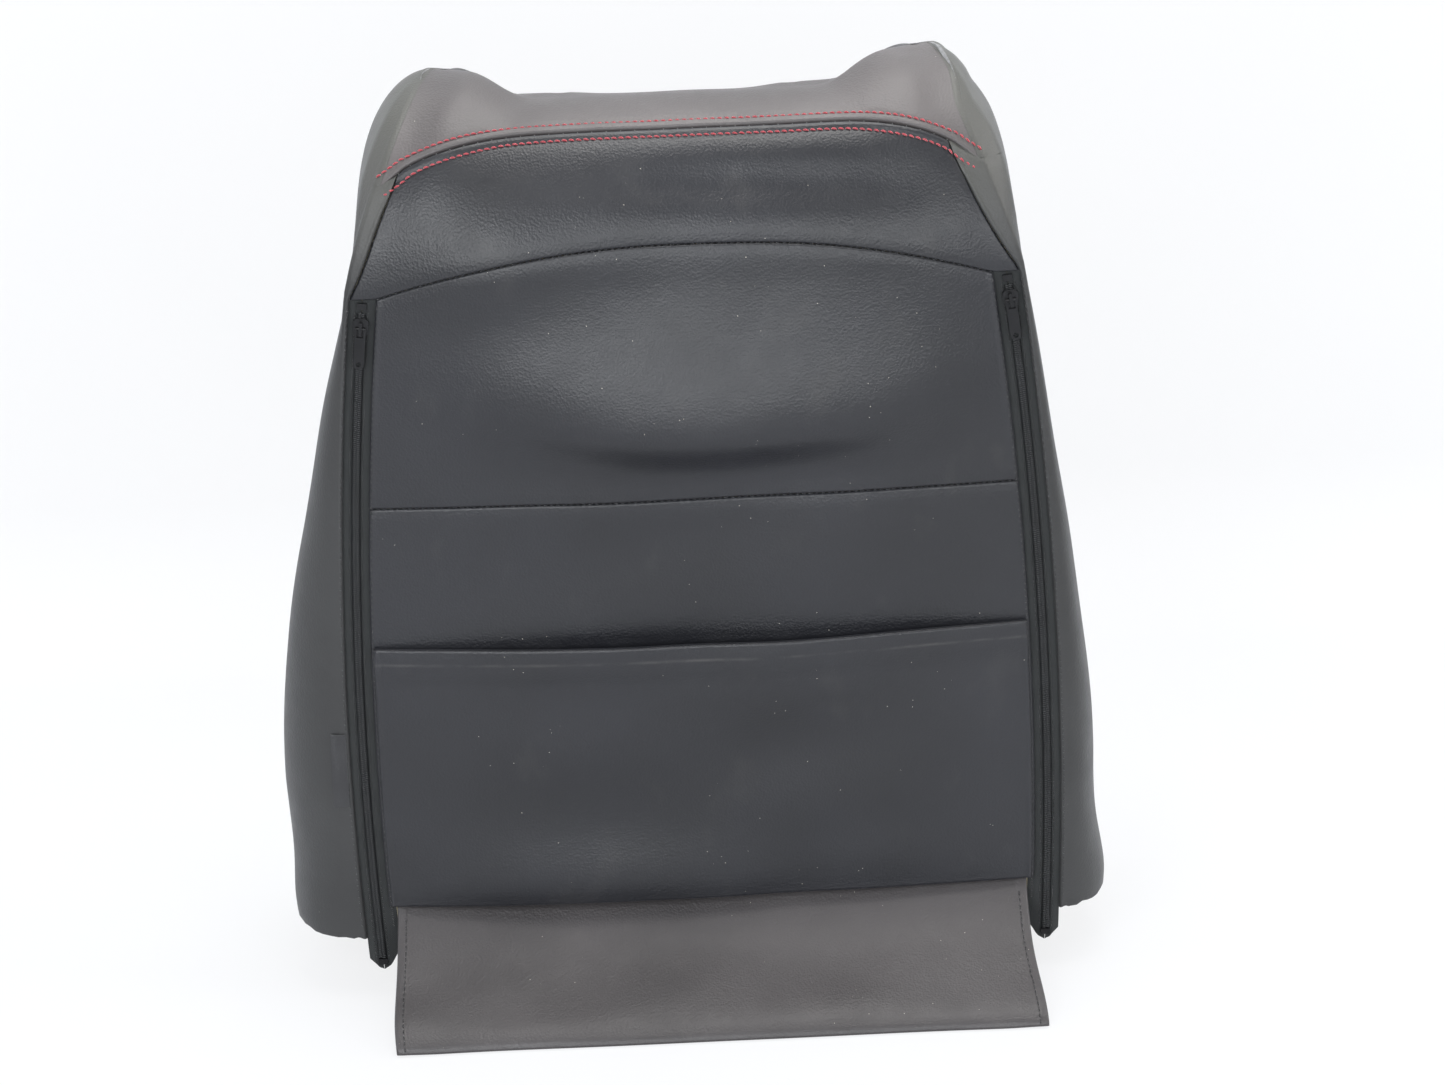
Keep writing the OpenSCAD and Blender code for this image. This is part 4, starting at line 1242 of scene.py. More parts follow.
@dataclass
class SideCover:
    """One side panel, from the zip round to the bolster's nose seam."""

    kit: Kit
    side: int
    step: float = 6.0
    edge_rise: float = 44.0
    flare: float = 6.0
    rear_inset: float = 0.0003
    nose_inset: float = 0.0004
    top_level: float = 1.995
    thickness: float = 2.6

    def low_edge(self, s: Array) -> Array:
        """Height of the cut lower edge at a station, uneven as if cut by hand."""
        rise = self.edge_rise * (1 - ease((s - FORM.s_side) / 0.12))
        return 0.3 + rise * (1 + 0.05 * waves(s * 60, s * 0, 3 + self.side))

    def levels(self) -> Array:
        """Levels of the bolster's rows, which meet this panel's at the nose seam."""
        low = FORM.side_z / FORM.neck_z
        above = low + np.linspace(0, 1, 46)[1:] * (self.top_level - low)
        return np.concatenate([spread(FORM.side_z, self.step) * low, above])

    def rows(self) -> tuple[Array, Array]:
        """Stations and levels of the panel's points, row by row.

        The rows run from the zip, the upper panel's side seam or the crease to the nose seam. At
        the crown seam's end the rear edge jumps along that seam from the upper panel's corner to
        the crease.
        """
        form, share = FORM, spread(215.0, self.step)
        corner_s, corner = form.upper_corner(self.side)
        nose = form.s_nose - self.nose_inset
        stations, levels = [], []
        for q in spread(form.side_z, self.step) * form.side_z / form.neck_z:
            s = lerp(form.s_out + self.rear_inset, nose, share)
            low = self.low_edge(s) / form.neck_z
            top = form.side_z / form.neck_z
            stations.append(s)
            levels.append(lerp(low, top, q / top))
        fall = lambda s: corner - form.crown_path(np.maximum(s, corner_s))
        for z in np.linspace(form.side_z, corner, 26)[1:]:
            edge = float(form.upper_edge(z, self.side))
            s = lerp(edge + self.rear_inset, nose, share)
            weight = ((z - form.side_z) / (corner - form.side_z)) ** 1.5
            height = z - fall(s) * weight - 0.2 * (z == corner)
            stations.append(s)
            levels.append(form.level(s, height))
        for t in np.linspace(0, 1, 34):
            s = lerp(form.crease_s, nose, share)
            start = form.level(s, form.crown_path(form.crease_s) + 0.2 + 0 * s)
            stations.append(s)
            levels.append(lerp(start, self.top_level, t))
        return np.array(stations), np.array(levels)

    def seam_ridge(self, s: Array, z: Array) -> Array:
        """Ridge that the crown seam leaves on this panel, between the upper panel and the crease."""
        below = (FORM.crown_path(s) - z) * lerp(1.0, 0.55, ease((s - FORM.s_corner) / 0.02))
        here = (z > FORM.crown_end_z - FORM.seam_fall - 16) & (below > -0.5) & (s < 0.36)
        return np.where(here, Seam.FELLED.profile(below.clip(0)), 0.0) * (1 - ease((s - 0.316) / 0.018))

    def build(self) -> None:
        """Builds the panel."""
        name = "right_side_panel" if self.side > 0 else "left_side_panel"
        s, level = self.rows()
        ridge = self.seam_ridge(s, FORM.shell_point(s, level)[..., 2])
        if self.side < 0:
            s, level, ridge = -s[:, ::-1], level[:, ::-1], ridge[:, ::-1]
        points = FORM.point(s, level)
        rear, front = ("left", "right") if self.side > 0 else ("right", "left")
        corner = ease((-points[..., 1] + 20) / 60) * np.exp(-(((points[..., 2] - 50) / 32) ** 2))
        soft = 2.2 * waves(points[..., 1] / 150, points[..., 2] / 170, 21 + self.side)
        edge = edge_distances(points)
        below = 1 - ease((points[..., 2] - FORM.side_z) / 30)
        soft = soft * ease(edge[rear] / 30) * ease(edge[front] / 25) * below
        lift = self.flare * corner * ease(edge[rear] / 45) + soft + ridge
        zipped = 1 - ease((points[..., 2] - FORM.crown_end_z + FORM.seam_fall + 12) / 8)
        lift = lift + Seam.TUCKED.profile(edge[rear]) * zipped
        edges = {rear: Seam.FLUSH, front: Seam.ROLLED, "low": Seam.CUT}
        thickness = self.thickness * (0.12 + 0.88 * ease((1.99 - level) / 0.12))
        panel = Panel(f"{name}_leather", points, self.kit.side, self.kit.backing, edges, thickness, lift)
        panel.normals = FORM.normal(s, level)
        dressed(panel.build(), "cover", "side_leather", name, fill=0.5)


@dataclass(frozen=True)
class Padding:
    """Swells a sheet held at its border with a short cloth simulation, as padding does."""

    pressure: float = 4.0
    frames: int = 20
    cap: float = 7.0

    def rise(self, points: Array) -> Array:
        """Simulates the sheet.

        Args:
            points: Evenly spaced grid of points in millimetres.

        Returns:
            How far each point rises along its normal, in millimetres, softly capped.
        """
        rows, columns = points.shape[:2]
        sheet = new_object("padding_sheet", points.reshape(-1, 3), grid_faces(rows, columns).tolist(), [])
        border = np.ones((rows, columns), bool)
        border[1:-1, 1:-1] = False
        sheet.vertex_groups.new(name="held").add(np.flatnonzero(border).tolist(), 1.0, "REPLACE")
        cloth = sheet.modifiers.new("padding", "CLOTH")
        cloth.settings.vertex_group_mass = "held"
        cloth.settings.use_pressure = True
        cloth.settings.uniform_pressure_force = self.pressure
        cloth.settings.effector_weights.gravity = 0.0
        cloth.point_cache.frame_start, cloth.point_cache.frame_end = 1, self.frames
        scene = bpy.context.scene
        for frame in range(1, self.frames + 1):
            scene.frame_set(frame)
        moved = np.empty(points.size)
        sheet.evaluated_get(bpy.context.evaluated_depsgraph_get()).data.vertices.foreach_get("co", moved)
        bpy.data.objects.remove(sheet)
        scene.frame_set(1)
        out = ((moved.reshape(points.shape) / MM - points) * grid_normals(points)).sum(-1)
        LOG.info("padding: %d points, highest %.1f mm before the cap", rows * columns, out.max())
        return self.cap * (1 - np.exp(-out.clip(0) / self.cap))

    @staticmethod
    def onto(rise: Array, v: Array, u: Array) -> Array:
        """Values of an even grid at other rows v and columns u, given as shares."""
        up, right = (np.linspace(0, 1, count) for count in rise.shape)
        across = np.array([np.interp(u, right, row) for row in rise])
        return np.array([np.interp(v, up, column) for column in across.T]).T


@dataclass
class FrontCover:
    """The bolster panels and the padded three-part insert on the occupant's side."""

    kit: Kit
    seam_low: float = 176.0
    seam_high: float = 344.0
    gap: float = 0.25
    pad: float = 5.0
    cell: float = 8.0
    seam_inset: float = 0.0004
    bolster_top: float = 1.977

    def build(self) -> None:
        """Builds every panel of the front."""
        for side, _ in SIDES:
            self.bolster(side)
        crown = CrownCover(self.kit)
        neck, gap, cut, deep = FORM.neck_z, self.gap, Seam.CUT, Seam.DEEP
        foot = level_line(0.3 / neck)
        low_under, low_over = (level_line((self.seam_low + off) / neck) for off in (-gap, gap))
        high_under, high_over = (level_line((self.seam_high + off) / neck) for off in (-gap, gap))
        top = lambda x: crown.front_level(x) - 0.0015
        pieces = (
            ("front_insert_lower", foot, low_under, 176.0, cut, deep),
            ("front_insert_middle", low_over, high_under, 168.0, deep, deep),
            ("front_insert_upper", high_over, top, 250.0, deep, Seam.ROLLED),
        )
        for index, (name, low, high, height, lower, upper) in enumerate(pieces):
            self.insert(name, low, high, height, lower, upper, 31 + index)
        self.seam_threads()

    def insert(
        self, name: str, low: Callable, high: Callable, height: float, lower: Seam, upper: Seam, seed: int
    ) -> None:
        """Builds one padded panel of the insert.

        Args:
            name: Name of the piece.
            low: Level of its lower edge at a place across.
            high: Level of its upper edge.
            height: Rough height in millimetres.
            lower: How the lower edge is worked.
            upper: How the upper edge is worked.
            seed: Choice of its unevenness.
        """
        valley = float(FORM.crest_x(FORM.s_valley))
        across, up = spread(2 * FORM.insert_half_w, 5.0), spread(height, 5.0)

        def place(shares: Array, rows: Array) -> Array:
            """Grid of points at shares across and rows up."""
            x, v = np.meshgrid((1 - 2 * shares) * (valley - 0.2), rows)
            return FORM.point(1 - (1 - FORM.s_valley) * x / valley, lerp(low(x), high(x), v))

        points = place(across, up)
        u, v = np.meshgrid(1 - 2 * across, up)
        swell = (np.cos(math.pi / 2 * u) * np.sin(math.pi * v)).clip(0) ** 0.6
        lift = self.pad * swell
        shares = (np.linspace(0, 1, int(side / self.cell)) for side in (2 * FORM.insert_half_w, height))
        even = place(*shares)
        lift = Padding.onto(Padding().rise(even), up, across)
        lift = lift + swell * 0.8 * waves(u, v * height / 150, seed)
        edges = {"left": Seam.DEEP, "right": Seam.DEEP, "low": lower, "high": upper}
        panel = Panel(f"{name}_leather", points, self.kit.insert, self.kit.backing, edges, lift=lift)
        dressed(panel.build(), "cover", "insert_leather", name, fill=0.6)

    def bolster(self, side: int) -> None:
        """Builds one bolster panel."""
        name = "right_bolster_panel" if side > 0 else "left_bolster_panel"
        cover = SideCover(self.kit, side)
        q = cover.levels()
        share = spread(95.0, 5.0)
        s = lerp(
            FORM.s_nose + self.seam_inset, FORM.s_valley - self.seam_inset, share
        )[None, :] + 0 * q[:, None]
        below = lerp(0.3 / FORM.neck_z, 1.0, q)
        level = np.where(q < 1, below, np.minimum(q, self.bolster_top))[:, None] + 0 * s
        points = FORM.point(s, level) if side > 0 else FORM.point(-s, level)[:, ::-1]
        nose, valley = ("left", "right") if side > 0 else ("right", "left")
        edge = edge_distances(points)
        soft = 1.6 * waves(points[..., 0] / 120, points[..., 2] / 190, 51 + side)
        soft = soft * ease(edge[nose] / 20) * ease(edge[valley] / 20)
        edges = {nose: Seam.ROLLED, valley: Seam.DEEP, "low": Seam.CUT, "high": Seam.ROLLED}
        panel = Panel(f"{name}_leather", points, self.kit.front, self.kit.backing, edges, lift=soft)
        dressed(panel.build(), "cover", "front_leather", name, fill=0.7)

    def seam_threads(self) -> None:
        """Sews the red rows beside the insert and the tonal rows at the nose seams."""
        q = np.concatenate([np.linspace(0.01, 1, 120), np.linspace(1, 1.90, 60)[1:]])
        for side, name in SIDES:
            for offset, out, label in ((-0.034, 0.1, "outer"), (-0.018, -0.4, "inner")):
                laid = on_cover(side * (FORM.s_valley + offset) + 0 * q, q, out)
                sew(f"{name}_bolster_{label}_row", laid, self.kit.red, BOLSTER_STITCH, "front_leather")
            laid = on_cover(side * FORM.s_nose + 0 * q, q, -1.3)
            sew(f"{name}_nose_thread", laid, self.kit.black, NOSE_STITCH, "front_leather")


@dataclass
class MapPocket:
    """The map pocket: one sheet sewn in at its sides and foot, its mouth folded to a hem."""

    kit: Kit
    low_z: float = 68.0
    mouth_z: float = 255.0
    inset: float = 2.0
    slack: float = 13.0
    stand: float = 0.6
    thickness: float = 2.2
    hem: float = 20.0
    hem_rise: float = 1.5
    stitch_inset: float = 3.0
    stitch_dip: float = 1.3
    sag: tuple[Hump, ...] = (
        Hump(8.0, -105, 84, 125, 27),
        Hump(2.0, 120, 96, 60, 18),
        Hump(-3.0, 60, 175, 130, 34, 14),
    )

    def surface(self, s: Array, z: Array, out: Array | float = 0.0) -> Array:
        """Point of the pocket's outer face at a station and height."""
        point = FORM.point(s, z / FORM.neck_z)
        share = np.clip((z - self.low_z) / (self.mouth_z - self.low_z), 0, 1)
        rise = self.stand + self.slack * (1 - (s / FORM.s_in) ** 2).clip(0) * share**1.2
        x = point[..., 0]
        sag = sum(hump.at(x, z) for hump in self.sag) + 1.6 * waves(x / 150, z / 120, 61)
        point = point.copy()
        point[..., 1] -= rise + 3.0 + sag * (1 - (s / FORM.s_in) ** 2).clip(0) + out
        return point

    def half(self, side: int) -> Panel:
        """One half of the pocket, from the middle to its side seam."""
        edge = FORM.s_in * (1 - self.inset / FORM.zip_half_w)
        share = spread(220.0, 5.0)
        v = spread(self.mouth_z - self.low_z, 4.5)
        u, v = np.meshgrid(share * side * edge if side > 0 else (share[::-1] * -edge), v)
        z = lerp(self.low_z, self.mouth_z, v)
        from_mouth = self.mouth_z - z
        hem = self.hem_rise * ease((self.hem - from_mouth + 1.0) / 2.0)
        stitched = -self.stitch_dip * np.exp(-(((from_mouth - self.hem + self.stitch_inset) / 1.4) ** 2))
        points = self.surface(u, z)
        outer = "right" if side > 0 else "left"
        name = "right_pocket_half" if side > 0 else "left_pocket_half"
        edges = {outer: Seam.TUCKED, "high": Seam.ROLLED, "low": Seam.DEEP}
        return Panel(name, points, self.kit.pocket, self.kit.backing, edges, self.thickness, hem + stitched)

    def build(self) -> None:
        """Builds both halves and the hem's stitching, giving way from the side seams to the middle."""
        for side, name in SIDES:
            piece = self.half(side).build()
            if side > 0:
                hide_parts("pocket_panel")
            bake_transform(piece)
            s = np.linspace(0.004, FORM.s_in - 0.006, 120) * side
            if side < 0:
                s = s[::-1]
            path = self.surface(s, self.mouth_z - self.hem + self.stitch_inset + 0 * s, 0.55)
            normals = np.tile([0.0, -1.0, 0.0], (len(s), 1))
            row = StitchRow(f"{name}_hem_stitches", path, normals, self.kit.black, HEM_STITCH).build()
            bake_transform(row)
            LOG.info("%s pocket half with its hem stitches", name)


@dataclass
class ClosingFlap:
    """The closing flap: one sheet hanging from the bottom seam and lying towards the viewer."""

    kit: Kit
    half_w: float = 213.0
    reach: float = 176.0
    knee: float = 173.0
    hinge_y: float = 80.0
    hinge_z: float = 70.0
    end_z: float = 1.0
    knee_z: float = 13.0
    slope_y: float = 120.0
    slope_z: float = 20.0
    thickness: float = 2.6
    hem_inset: float = 5.8

    def path(self, v: Array) -> tuple[Array, Array]:
        """Depth and height of the flap's middle line, from its free edge to the seam."""
        free, knee = (-self.reach, self.end_z), (-self.knee, self.knee_z)
        return bezier([free, knee, (-self.slope_y, self.slope_z), (-self.hinge_y, self.hinge_z)], v)

    def surface(self, u: Array, v: Array) -> Array:
        """Point of the flap's upper face."""
        y, z = self.path(v)
        free = 1 - ease(v / 0.75)
        y = y + free * 2.0 * waves(u * 1.1, v * 0.4, 71)
        width = self.half_w + 6.0 * free * ease(u) + 2.0 * waves(v * 1.2, u * 0, 72)
        edge = ease((np.abs(u) - 0.86) / 0.14)
        swell = 2.4 * (1.1 + waves(u * 1.6, v * 1.1, 73))
        z = z + 0.6 * free * edge + swell * np.sin(math.pi * np.clip(v / 0.8, 0, 1)) ** 1.2
        return np.stack([u * width, y, z], -1)

    def build(self) -> None:
        """Builds the flap and its hem stitching."""
        u = spread(2 * self.half_w, 5.0) * 2 - 1
        v = spread(118.0, 4.0)
        u, v = np.meshgrid(u, v)
        points = self.surface(u, v)
        edges = {"left": Seam.ROLLED, "right": Seam.ROLLED, "low": Seam.ROLLED, "high": Seam.FLUSH}
        distance = edge_distances(points)
        near = np.minimum(distance["left"], distance["right"])
        lift = 0.35 * (1 - ease((near - 5.5) / 1.5)) + 0.5 * (1 - ease((distance["low"] - 5.0) / 2.5))
        flap = Panel(
            "flap_leather_sheet", points, self.kit.flap, self.kit.backing, edges, self.thickness, lift
        ).build()
        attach(flap, "flap")
        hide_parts("closing_flap")
        LOG.info("closing flap: %d faces", len(flap.data.polygons))
        coat(self.kit.stiffener, "flap_edge_strip")
        for side, name in reversed(SIDES):
            across = side * (1 - self.hem_inset / self.half_w)
            vv = np.linspace(0.03, 0.93, 80)
            path = self.surface(across + 0 * vv, vv)
            ahead = self.surface(across + 0 * vv, vv + 0.01) - path
            normals = np.cross(np.array([1.0, 0.0, 0.0]), ahead)
            normals /= np.linalg.norm(normals, axis=1, keepdims=True)
            laid = Laid(path + normals * 0.6, normals)
            sew(f"{name}_flap_stitches", laid, self.kit.black, FLAP_STITCH, "flap_leather", "flap")


TURN_LIFT = (0.0, 1.1, 1.55, 1.55, 1.3, 0.4)
TURN_WIDTH = (0.8, 1, 1, 1, 1.15, 0.8)


@dataclass
class ZipPair:
    """Both zips: woven tapes, coils, and the parts that slide on them."""

    kit: Kit
    low_z: float = 19.0
    high_z: float = 495.0
    coil_low: float = 29.0
    coil_high: float = 485.0
    tape_y: float = -80.7
    coil_y: float = -83.25
    pitch: float = 1.35
    tape_in: float = 13.0
    tape_out: float = 8.9
    tape_gap: float = 0.15
    turn_out: float = 3.1
    turn_past: float = 0.7
    thread_out: float = 4.3

    def place(self, side: int, z: Array, offset: Array) -> Array:
        """X of a line that runs beside a zip's centre at a distance."""
        return side * (FORM.zip_x(z) + offset)

    def build(self) -> None:
        """Builds both zips."""
        for side, name in SIDES:
            self.tape(side, name, "inner", -self.tape_in, -self.tape_gap)
            self.tape(side, name, "outer", self.tape_gap, self.tape_out)
            self.coil(side, name)
        movers = ("left_zip_slider", "right_zip_slider", "left_zip_pull", "right_zip_pull")
        coat(self.kit.slider, *movers, "zip_end_stops")

    def tape(self, side: int, name: str, half: str, near: float, far: float) -> None:
        """Builds one half of a zip's tape, its lower end cut to a point at the coil."""
        z = np.linspace(self.low_z, self.high_z, 150)
        d = np.linspace(near, far, 9) if side > 0 else np.linspace(far, near, 9)
        offset, height = np.meshgrid(d, z)
        share = np.abs(offset) / self.tape_in
        slope = 16.0 * share**1.4 + 1.2 * waves(offset / 5, 0 * offset, 83)
        height = height + slope * (1 - ease((height - self.low_z) / 60))
        wave = 0.35 * np.sin(height / 4.1) * share + 0.25 * waves(height / 40, offset / 30, 81)
        y = self.tape_y - 0.15 - wave - 0.5 * np.exp(-(((np.abs(offset) - 5.2) / 1.2) ** 2))
        points = np.stack([self.place(side, height, offset), y, height], -1)
        ribbon = Panel(f"{name}_{half}_tape", points, self.kit.tape, self.kit.tape, {}, 0.6)
        dressed(ribbon.build(), "cover", "zip_tape", f"{name}_zip_{half}_tape")

    def coil(self, side: int, name: str) -> None:
        """Builds the coil: two rows of arched turns that mesh along the centre line."""
        vertices, faces = [], []
        count = int((self.coil_high - self.coil_low) / self.pitch)
        rings, sides = len(TURN_LIFT), 6
        turns = np.linspace(0, math.tau, sides, endpoint=False)
        circle = np.stack([0 * turns, np.cos(turns), np.sin(turns)], -1)[None]
        thick = 0.50 * np.array(TURN_WIDTH)
        for row, shift in ((-1, 0.0), (1, 0.5)):
            across = row * lerp(self.turn_out, -self.turn_past, np.linspace(0, 1, rings))
            for z in self.coil_low + (np.arange(count) + shift) * self.pitch:
                height = np.full(rings, z)
                x = self.place(side, height, across)
                centre = np.stack([x, self.coil_y + 2.0 - np.array(TURN_LIFT), height], -1)
                faces += tube_faces(len(vertices) * rings * sides, rings, sides, flip=x[-1] > x[0])
                vertices.append((centre[:, None] + circle * thick[:, None, None]).reshape(-1, 3))
        turns_made = new_object(
            f"{name}_zip_turns", np.concatenate(vertices), faces, [self.kit.coil], sharp=80
        )
        dressed(turns_made, "cover", "zip_coil", f"{name}_zip_coil")
        z = np.linspace(self.coil_low, self.coil_high, 260)
        for row, label in ((-1, "inner"), (1, "outer")):
            x = self.place(side, z, np.full(z.shape, row * self.thread_out))
            path = np.stack([x, np.full(z.shape, self.tape_y - 0.7), z], -1)
            laid = Laid(path, np.tile([0.0, -1.0, 0.0], (len(z), 1)))
            sew(f"{name}_{label}_coil_thread", laid, self.kit.black, COIL_STITCH, "zip_tape")


@dataclass
class FoamPad:
    """The moulded foam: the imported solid's form with its corners softened."""

    kit: Kit
    voxel: float = 4.0
    valley_sink: float = 9.0
    valley_width: float = 0.022
    skin: float = 14.0
    fade: float = 30.0

    def build(self) -> None:
        """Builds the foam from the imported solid, remeshed and smoothed."""
        foam = bpy.data.objects.new("moulded_foam", packed("foam_pad").data.copy())
        bpy.context.scene.collection.objects.link(foam)
        remesh = foam.modifiers.new("remesh", "REMESH")
        remesh.mode, remesh.voxel_size = "VOXEL", self.voxel * MM
        smooth = foam.modifiers.new("smooth", "SMOOTH")
        smooth.factor, smooth.iterations = 0.5, 2
        apply_modifiers(foam)
        self.follow_cover(foam.data)
        foam.data.materials.clear()
        foam.data.materials.append(self.kit.foam)
        foam.data.shade_smooth()
        dressed(foam, "cover", "foam", "foam_pad", fill=1.0)

    def follow_cover(self, mesh: bpy.types.Mesh) -> None:
        """Moves the foam's outer skin as the slumped cover moved, fading away with depth."""
        s, q = np.meshgrid(np.linspace(-1, 1, 260)[:-1], np.linspace(0, 1.99, 90))
        plain, slumped = FORM.shell_point(s, q).reshape(-1, 3), FORM.point(s, q).reshape(-1, 3)
        tree = nearest_tree(plain)
        points = np.zeros(len(mesh.vertices) * 3)
        mesh.vertices.foreach_get("co", points)
        points = points.reshape(-1, 3) / MM
        found = [tree.find(p) for p in points]
        nearest, depth = (np.array([f[k] for f in found]) for k in (1, 2))
        share = 1 - ease((depth - self.skin) / self.fade)
        points += (slumped[nearest] - plain[nearest]) * share[:, None]
        around = (np.abs(s.ravel()[nearest]) - FORM.s_valley) / self.valley_width
        sink = 1.0 + self.valley_sink * np.exp(-(around**2))
        points -= FORM.normal(s, q).reshape(-1, 3)[nearest] * (sink * share)[:, None]
        points[:, 2] = points[:, 2].clip(0)
        mesh.vertices.foreach_set("co", (points * MM).ravel())
        mesh.update()


@dataclass
class TieDown:
    """The wires, rings and listing strips hidden in the foam's slots."""

    kit: Kit
    slot_low: float = 74.0
    ripple: float = 0.7
    ripple_mm: float = 29.0

    def build(self) -> None:
        """Gives the wires and rings their metal and builds the listing strips as cloth."""
        wires = ("left_foam_wire", "right_foam_wire", "left_cover_wire", "right_cover_wire")
        coat(self.kit.wire, *wires, "hog_rings")
        for _, name in SIDES:
            self.strip(name)

    def strip(self, name: str) -> None:
        """Builds one listing strip, rippled between its rings."""
        points = np.array([tuple(v.co) for v in packed(f"{name}_listing_strip").data.vertices]) / MM
        low, high = points.min(0), points.max(0)
        y, z = np.meshgrid(np.linspace(low[1], high[1], 8), np.linspace(low[2], high[2], 90))
        middle = np.full(y.shape, (low[0] + high[0]) / 2 + 0.35)
        wave = self.ripple * np.sin((z - self.slot_low) / self.ripple_mm)
        x = middle + wave * (high[1] - y) / (high[1] - low[1])
        cloth = Panel(
            f"{name}_listing_cloth", np.stack([x, y, z], -1), self.kit.listing, self.kit.listing, {}, 0.7
        )
        dressed(cloth.build(), "cover", "listing", f"{name}_listing_strip")


@dataclass
class SideTag:
    """The folded ribbon tag sewn in beside the left zip, left plain."""

    kit: Kit
    low_z: float = 142.0
    length: float = 52.0
    width: float = 11.0

    def build(self) -> None:
        """Builds the ribbon."""
        u, v = np.meshgrid(np.linspace(1, 0, 14), np.linspace(0, 1, 46))
        s = -(FORM.s_out + 0.004 + u * self.width / FORM.zip_half_w * FORM.s_in)
        z = self.low_z + v * self.length
        level = z / FORM.neck_z
        lift = 1.1 + 1.6 * u**2 * (0.7 + 0.3 * waves(v * 1.3, u, 91)) + 0.25 * np.sin(v * 9)
        points = FORM.point(s, level) + FORM.normal(s, level) * lift[..., None]
        ribbon = Panel("side_ribbon", points, self.kit.tag, self.kit.tag, {}, 0.55)
        dressed(ribbon.build(), "cover", "tag", "side_tag")


# ---------------------------------------------------------------- the studio


@dataclass(frozen=True)
class Lamp:
    """An area light: its place and aim in metres, its sides, power and colour."""

    name: str
    place: tuple[float, float, float]
    aim: tuple[float, float, float]
    wide: float
    high: float
    watts: float
    colour: tuple[float, float, float]


WARM, DAY, SOFT_DAY, PALE_DAY = (1.0, 0.985, 0.96), (0.95, 0.975, 1.0), (0.96, 0.98, 1.0), (0.97, 0.98, 1.0)
MIDDLE = (0.0, 0.0, 0.35)
LAMPS = (
    Lamp("overhead", (0.1, -0.05, 2.3), (0.0, -0.1, 0.3), 1.2, 1.1, 30.0, WARM),
    Lamp("front_window", (0.1, -2.95, 0.95), MIDDLE, 2.0, 0.8, 30.0, DAY),
    Lamp("left_window", (-1.15, -2.5, 1.15), MIDDLE, 0.9, 1.0, 16.0, DAY),
    Lamp("right_window", (1.3, -2.4, 1.15), MIDDLE, 0.9, 1.0, 16.0, SOFT_DAY),
    Lamp("high_window", (-1.0, -2.3, 1.9), (0.0, 0.0, 0.5), 1.1, 0.8, 25.0, SOFT_DAY),
    Lamp("left_fill", (-2.1, -0.3, 1.4), MIDDLE, 1.2, 1.4, 16.0, PALE_DAY),
    Lamp("right_fill", (2.1, -0.2, 1.5), MIDDLE, 1.2, 1.4, 29.0, WARM),
)


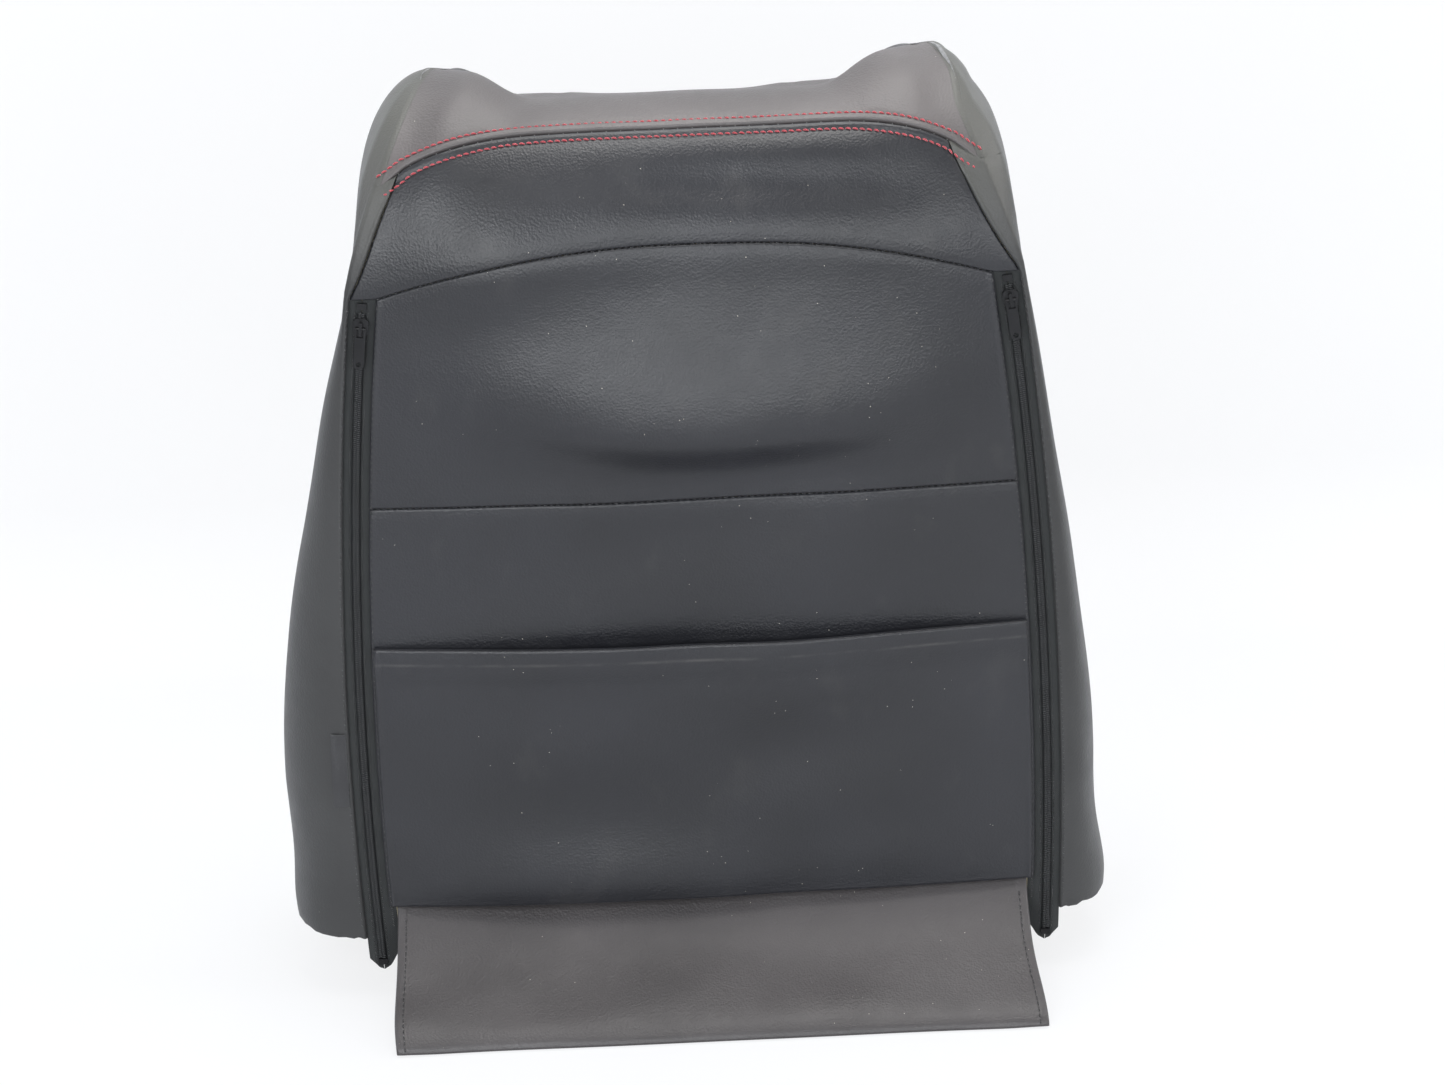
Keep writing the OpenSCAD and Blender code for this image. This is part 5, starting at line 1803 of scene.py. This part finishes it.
@dataclass
class Studio:
    """White sweep, soft overhead light and the camera."""

    target: tuple[float, float, float] = (0.0, -0.040, 0.290)
    eye: tuple[float, float, float] = (0.0, -2.4832, 1.1793)
    roll: float = 2.6
    focal_px: float = 3898.0
    width_px: int = 1445
    height_px: int = 1085
    target_px: tuple[float, float] = (697.0, 560.0)
    wall_y: float = 0.62
    wall_top: float = 2.6
    half_w: float = 3.2
    reach: float = 3.4
    cove: float = 0.12
    paleness: float = 0.80
    sheen: float = 0.05
    paper: tuple[tuple[float, float, float], ...] = ((0.60, 0.61, 0.63), (0.64, 0.65, 0.67))
    pale: tuple[float, float, float] = (0.985, 0.99, 1.0)
    horizon: tuple[float, float, float] = (0.18, 0.185, 0.20)
    zenith: tuple[float, float, float] = (0.52, 0.545, 0.58)
    seen_world: tuple[float, float, float] = (0.96, 0.965, 0.97)

    def build(self) -> None:
        """Builds floor, wall, lights, world and camera."""
        self.backdrop()
        self.lights()
        self.camera()

    def backdrop(self) -> None:
        """Builds the floor and the wall as one sweep, and the floor behind it."""
        foot = self.wall_y - self.cove
        path = [(-self.reach, 0.0), (foot, 0.0)]
        for a in np.linspace(0.15, math.pi / 2, 14):
            path.append((foot + self.cove * math.sin(a), self.cove - self.cove * math.cos(a)))
        path.append((self.wall_y, self.wall_top))
        sides = (-self.half_w, self.half_w)
        vertices = [(x, y, z) for y, z in path for x in sides]
        faces = [(2 * i, 2 * i + 1, 2 * i + 3, 2 * i + 2) for i in range(len(path) - 1)]
        start = len(vertices)
        vertices += [(x, y, 0.0) for y in (foot, self.reach) for x in sides]
        faces.append((start, start + 1, start + 3, start + 2))
        sweep = new_object("studio_sweep", np.array(vertices) / MM, faces, [self.sweep_material()], sharp=180)

    def sweep_material(self) -> Material:
        """White paper, pale for the camera, that keeps the shadow and is clear from behind."""
        k = Links("sweep_paper")
        fibres = k.noise(500.0, 3.0)
        colour = k.ramp(k.noise(3.0, 2.0), list(zip((0.3, 0.7), self.paper)))
        k.finish(colour, 0.9, k.bump(fibres, 0.0001, 0.3))
        rays = k.node("ShaderNodeLightPath").outputs
        seen = k.math("MAXIMUM", rays["Is Camera Ray"], k.math("MULTIPLY", rays["Is Glossy Ray"], self.sheen))
        pale = k.node("ShaderNodeEmission", Color=self.pale, Strength=1.0)
        blend = k.node("ShaderNodeMixShader", Fac=k.math("MULTIPLY", seen, self.paleness))
        k.join(k.shader.outputs[0], blend.inputs[1])
        k.join(pale.outputs[0], blend.inputs[2])
        back = k.node("ShaderNodeMixShader", Fac=k.node("ShaderNodeNewGeometry").outputs["Backfacing"])
        k.join(blend.outputs[0], back.inputs[1])
        k.join(k.node("ShaderNodeBsdfTransparent").outputs[0], back.inputs[2])
        k.join(back.outputs[0], k.output.inputs["Surface"])
        return k.material

    def lights(self) -> None:
        """Hangs a large soft light overhead, windows in front and two fills, and lights the world."""
        scene = bpy.context.scene
        world = bpy.data.worlds.new("studio_world")
        world.use_nodes = True
        tree = world.node_tree
        kinds = ("TexCoord", "SeparateXYZ", "ValToRGB", "Mix", "LightPath")
        place, split, ramp, seen, path = (tree.nodes.new(f"ShaderNode{kind}") for kind in kinds)
        seen.data_type = "RGBA"
        links = (
            (place.outputs["Generated"], split.inputs[0]),
            (split.outputs["Z"], ramp.inputs[0]),
            (path.outputs["Is Camera Ray"], seen.inputs[0]),
            (ramp.outputs[0], seen.inputs[6]),
            (seen.outputs[2], tree.nodes["Background"].inputs[0]),
        )
        for source, target in links:
            tree.links.new(source, target)
        low, high = ramp.color_ramp.elements
        low.color, high.color = (*self.horizon, 1.0), (*self.zenith, 1.0)
        low.position, high.position = 0.05, 0.9
        seen.inputs[7].default_value = (*self.seen_world, 1.0)
        scene.world = world
        for lamp in LAMPS:
            data = bpy.data.lights.new(lamp.name, "AREA")
            data.shape, data.size, data.size_y = "RECTANGLE", lamp.wide, lamp.high
            data.energy, data.color = lamp.watts, lamp.colour
            light = bpy.data.objects.new(lamp.name, data)
            light.location = lamp.place
            light.rotation_euler = (Vector(lamp.aim) - Vector(lamp.place)).to_track_quat("-Z", "Y").to_euler()
            scene.collection.objects.link(light)

    def camera(self) -> None:
        """Places the camera, rolled and aimed so that no shift is needed."""
        forward = (Vector(self.target) - Vector(self.eye)).normalized()
        level = forward.cross(Vector((0, 0, 1))).normalized()
        high = level.cross(forward)
        a = math.radians(self.roll)
        right, up = level * math.cos(a) - high * math.sin(a), level * math.sin(a) + high * math.cos(a)
        across = (self.width_px / 2 - self.target_px[0]) / self.focal_px
        down = (self.target_px[1] - self.height_px / 2) / self.focal_px
        forward = (forward + right * across + up * down).normalized()
        right = (right - forward * right.dot(forward)).normalized()
        up = right.cross(forward)
        data = bpy.data.cameras.new("camera")
        data.sensor_width = 36.0
        data.lens = self.focal_px * 36.0 / self.width_px
        data.clip_start, data.clip_end = 0.05, 20.0
        camera = bpy.data.objects.new("camera", data)
        turn = Matrix((right, up, -forward)).transposed().to_4x4()
        camera.matrix_world = Matrix.Translation(self.eye) @ turn
        bpy.context.scene.collection.objects.link(camera)
        bpy.context.scene.camera = camera


# ---------------------------------------------------------------- helpers that touch the frame


def packed(node: str) -> bpy.types.Object:
    """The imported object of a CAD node."""
    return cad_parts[node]


def coat(finish: Material, *nodes: str) -> None:
    """Gives packed objects that stay in the scene one finish."""
    for node in nodes:
        materials = packed(node).data.materials
        materials.clear()
        materials.append(finish)


def apply_modifiers(piece: bpy.types.Object) -> None:
    """Applies every modifier of a piece to its mesh."""
    graph = bpy.context.evaluated_depsgraph_get()
    done = bpy.data.meshes.new_from_object(piece.evaluated_get(graph))
    piece.modifiers.clear()
    piece.data = done


def main() -> None:
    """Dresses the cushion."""
    logging.basicConfig(level=logging.INFO, format="%(name)s: %(message)s")
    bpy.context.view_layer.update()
    kit = Kit()
    FoamPad(kit).build()
    RearCover(kit).build()
    CrownCover(kit).build()
    for side, _ in SIDES:
        SideCover(kit, side).build()
    FrontCover(kit).build()
    MapPocket(kit).build()
    ClosingFlap(kit).build()
    ZipPair(kit).build()
    TieDown(kit).build()
    SideTag(kit).build()
    Studio().build()
    bpy.context.scene.view_settings.view_transform = "Standard"


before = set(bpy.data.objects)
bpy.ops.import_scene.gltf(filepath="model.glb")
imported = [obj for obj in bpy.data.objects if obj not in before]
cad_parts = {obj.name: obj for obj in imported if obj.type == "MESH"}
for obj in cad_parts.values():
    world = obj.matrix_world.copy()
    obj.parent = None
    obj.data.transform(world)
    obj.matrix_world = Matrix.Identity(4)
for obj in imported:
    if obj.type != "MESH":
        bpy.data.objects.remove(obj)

if __name__ == "__main__":
    main()
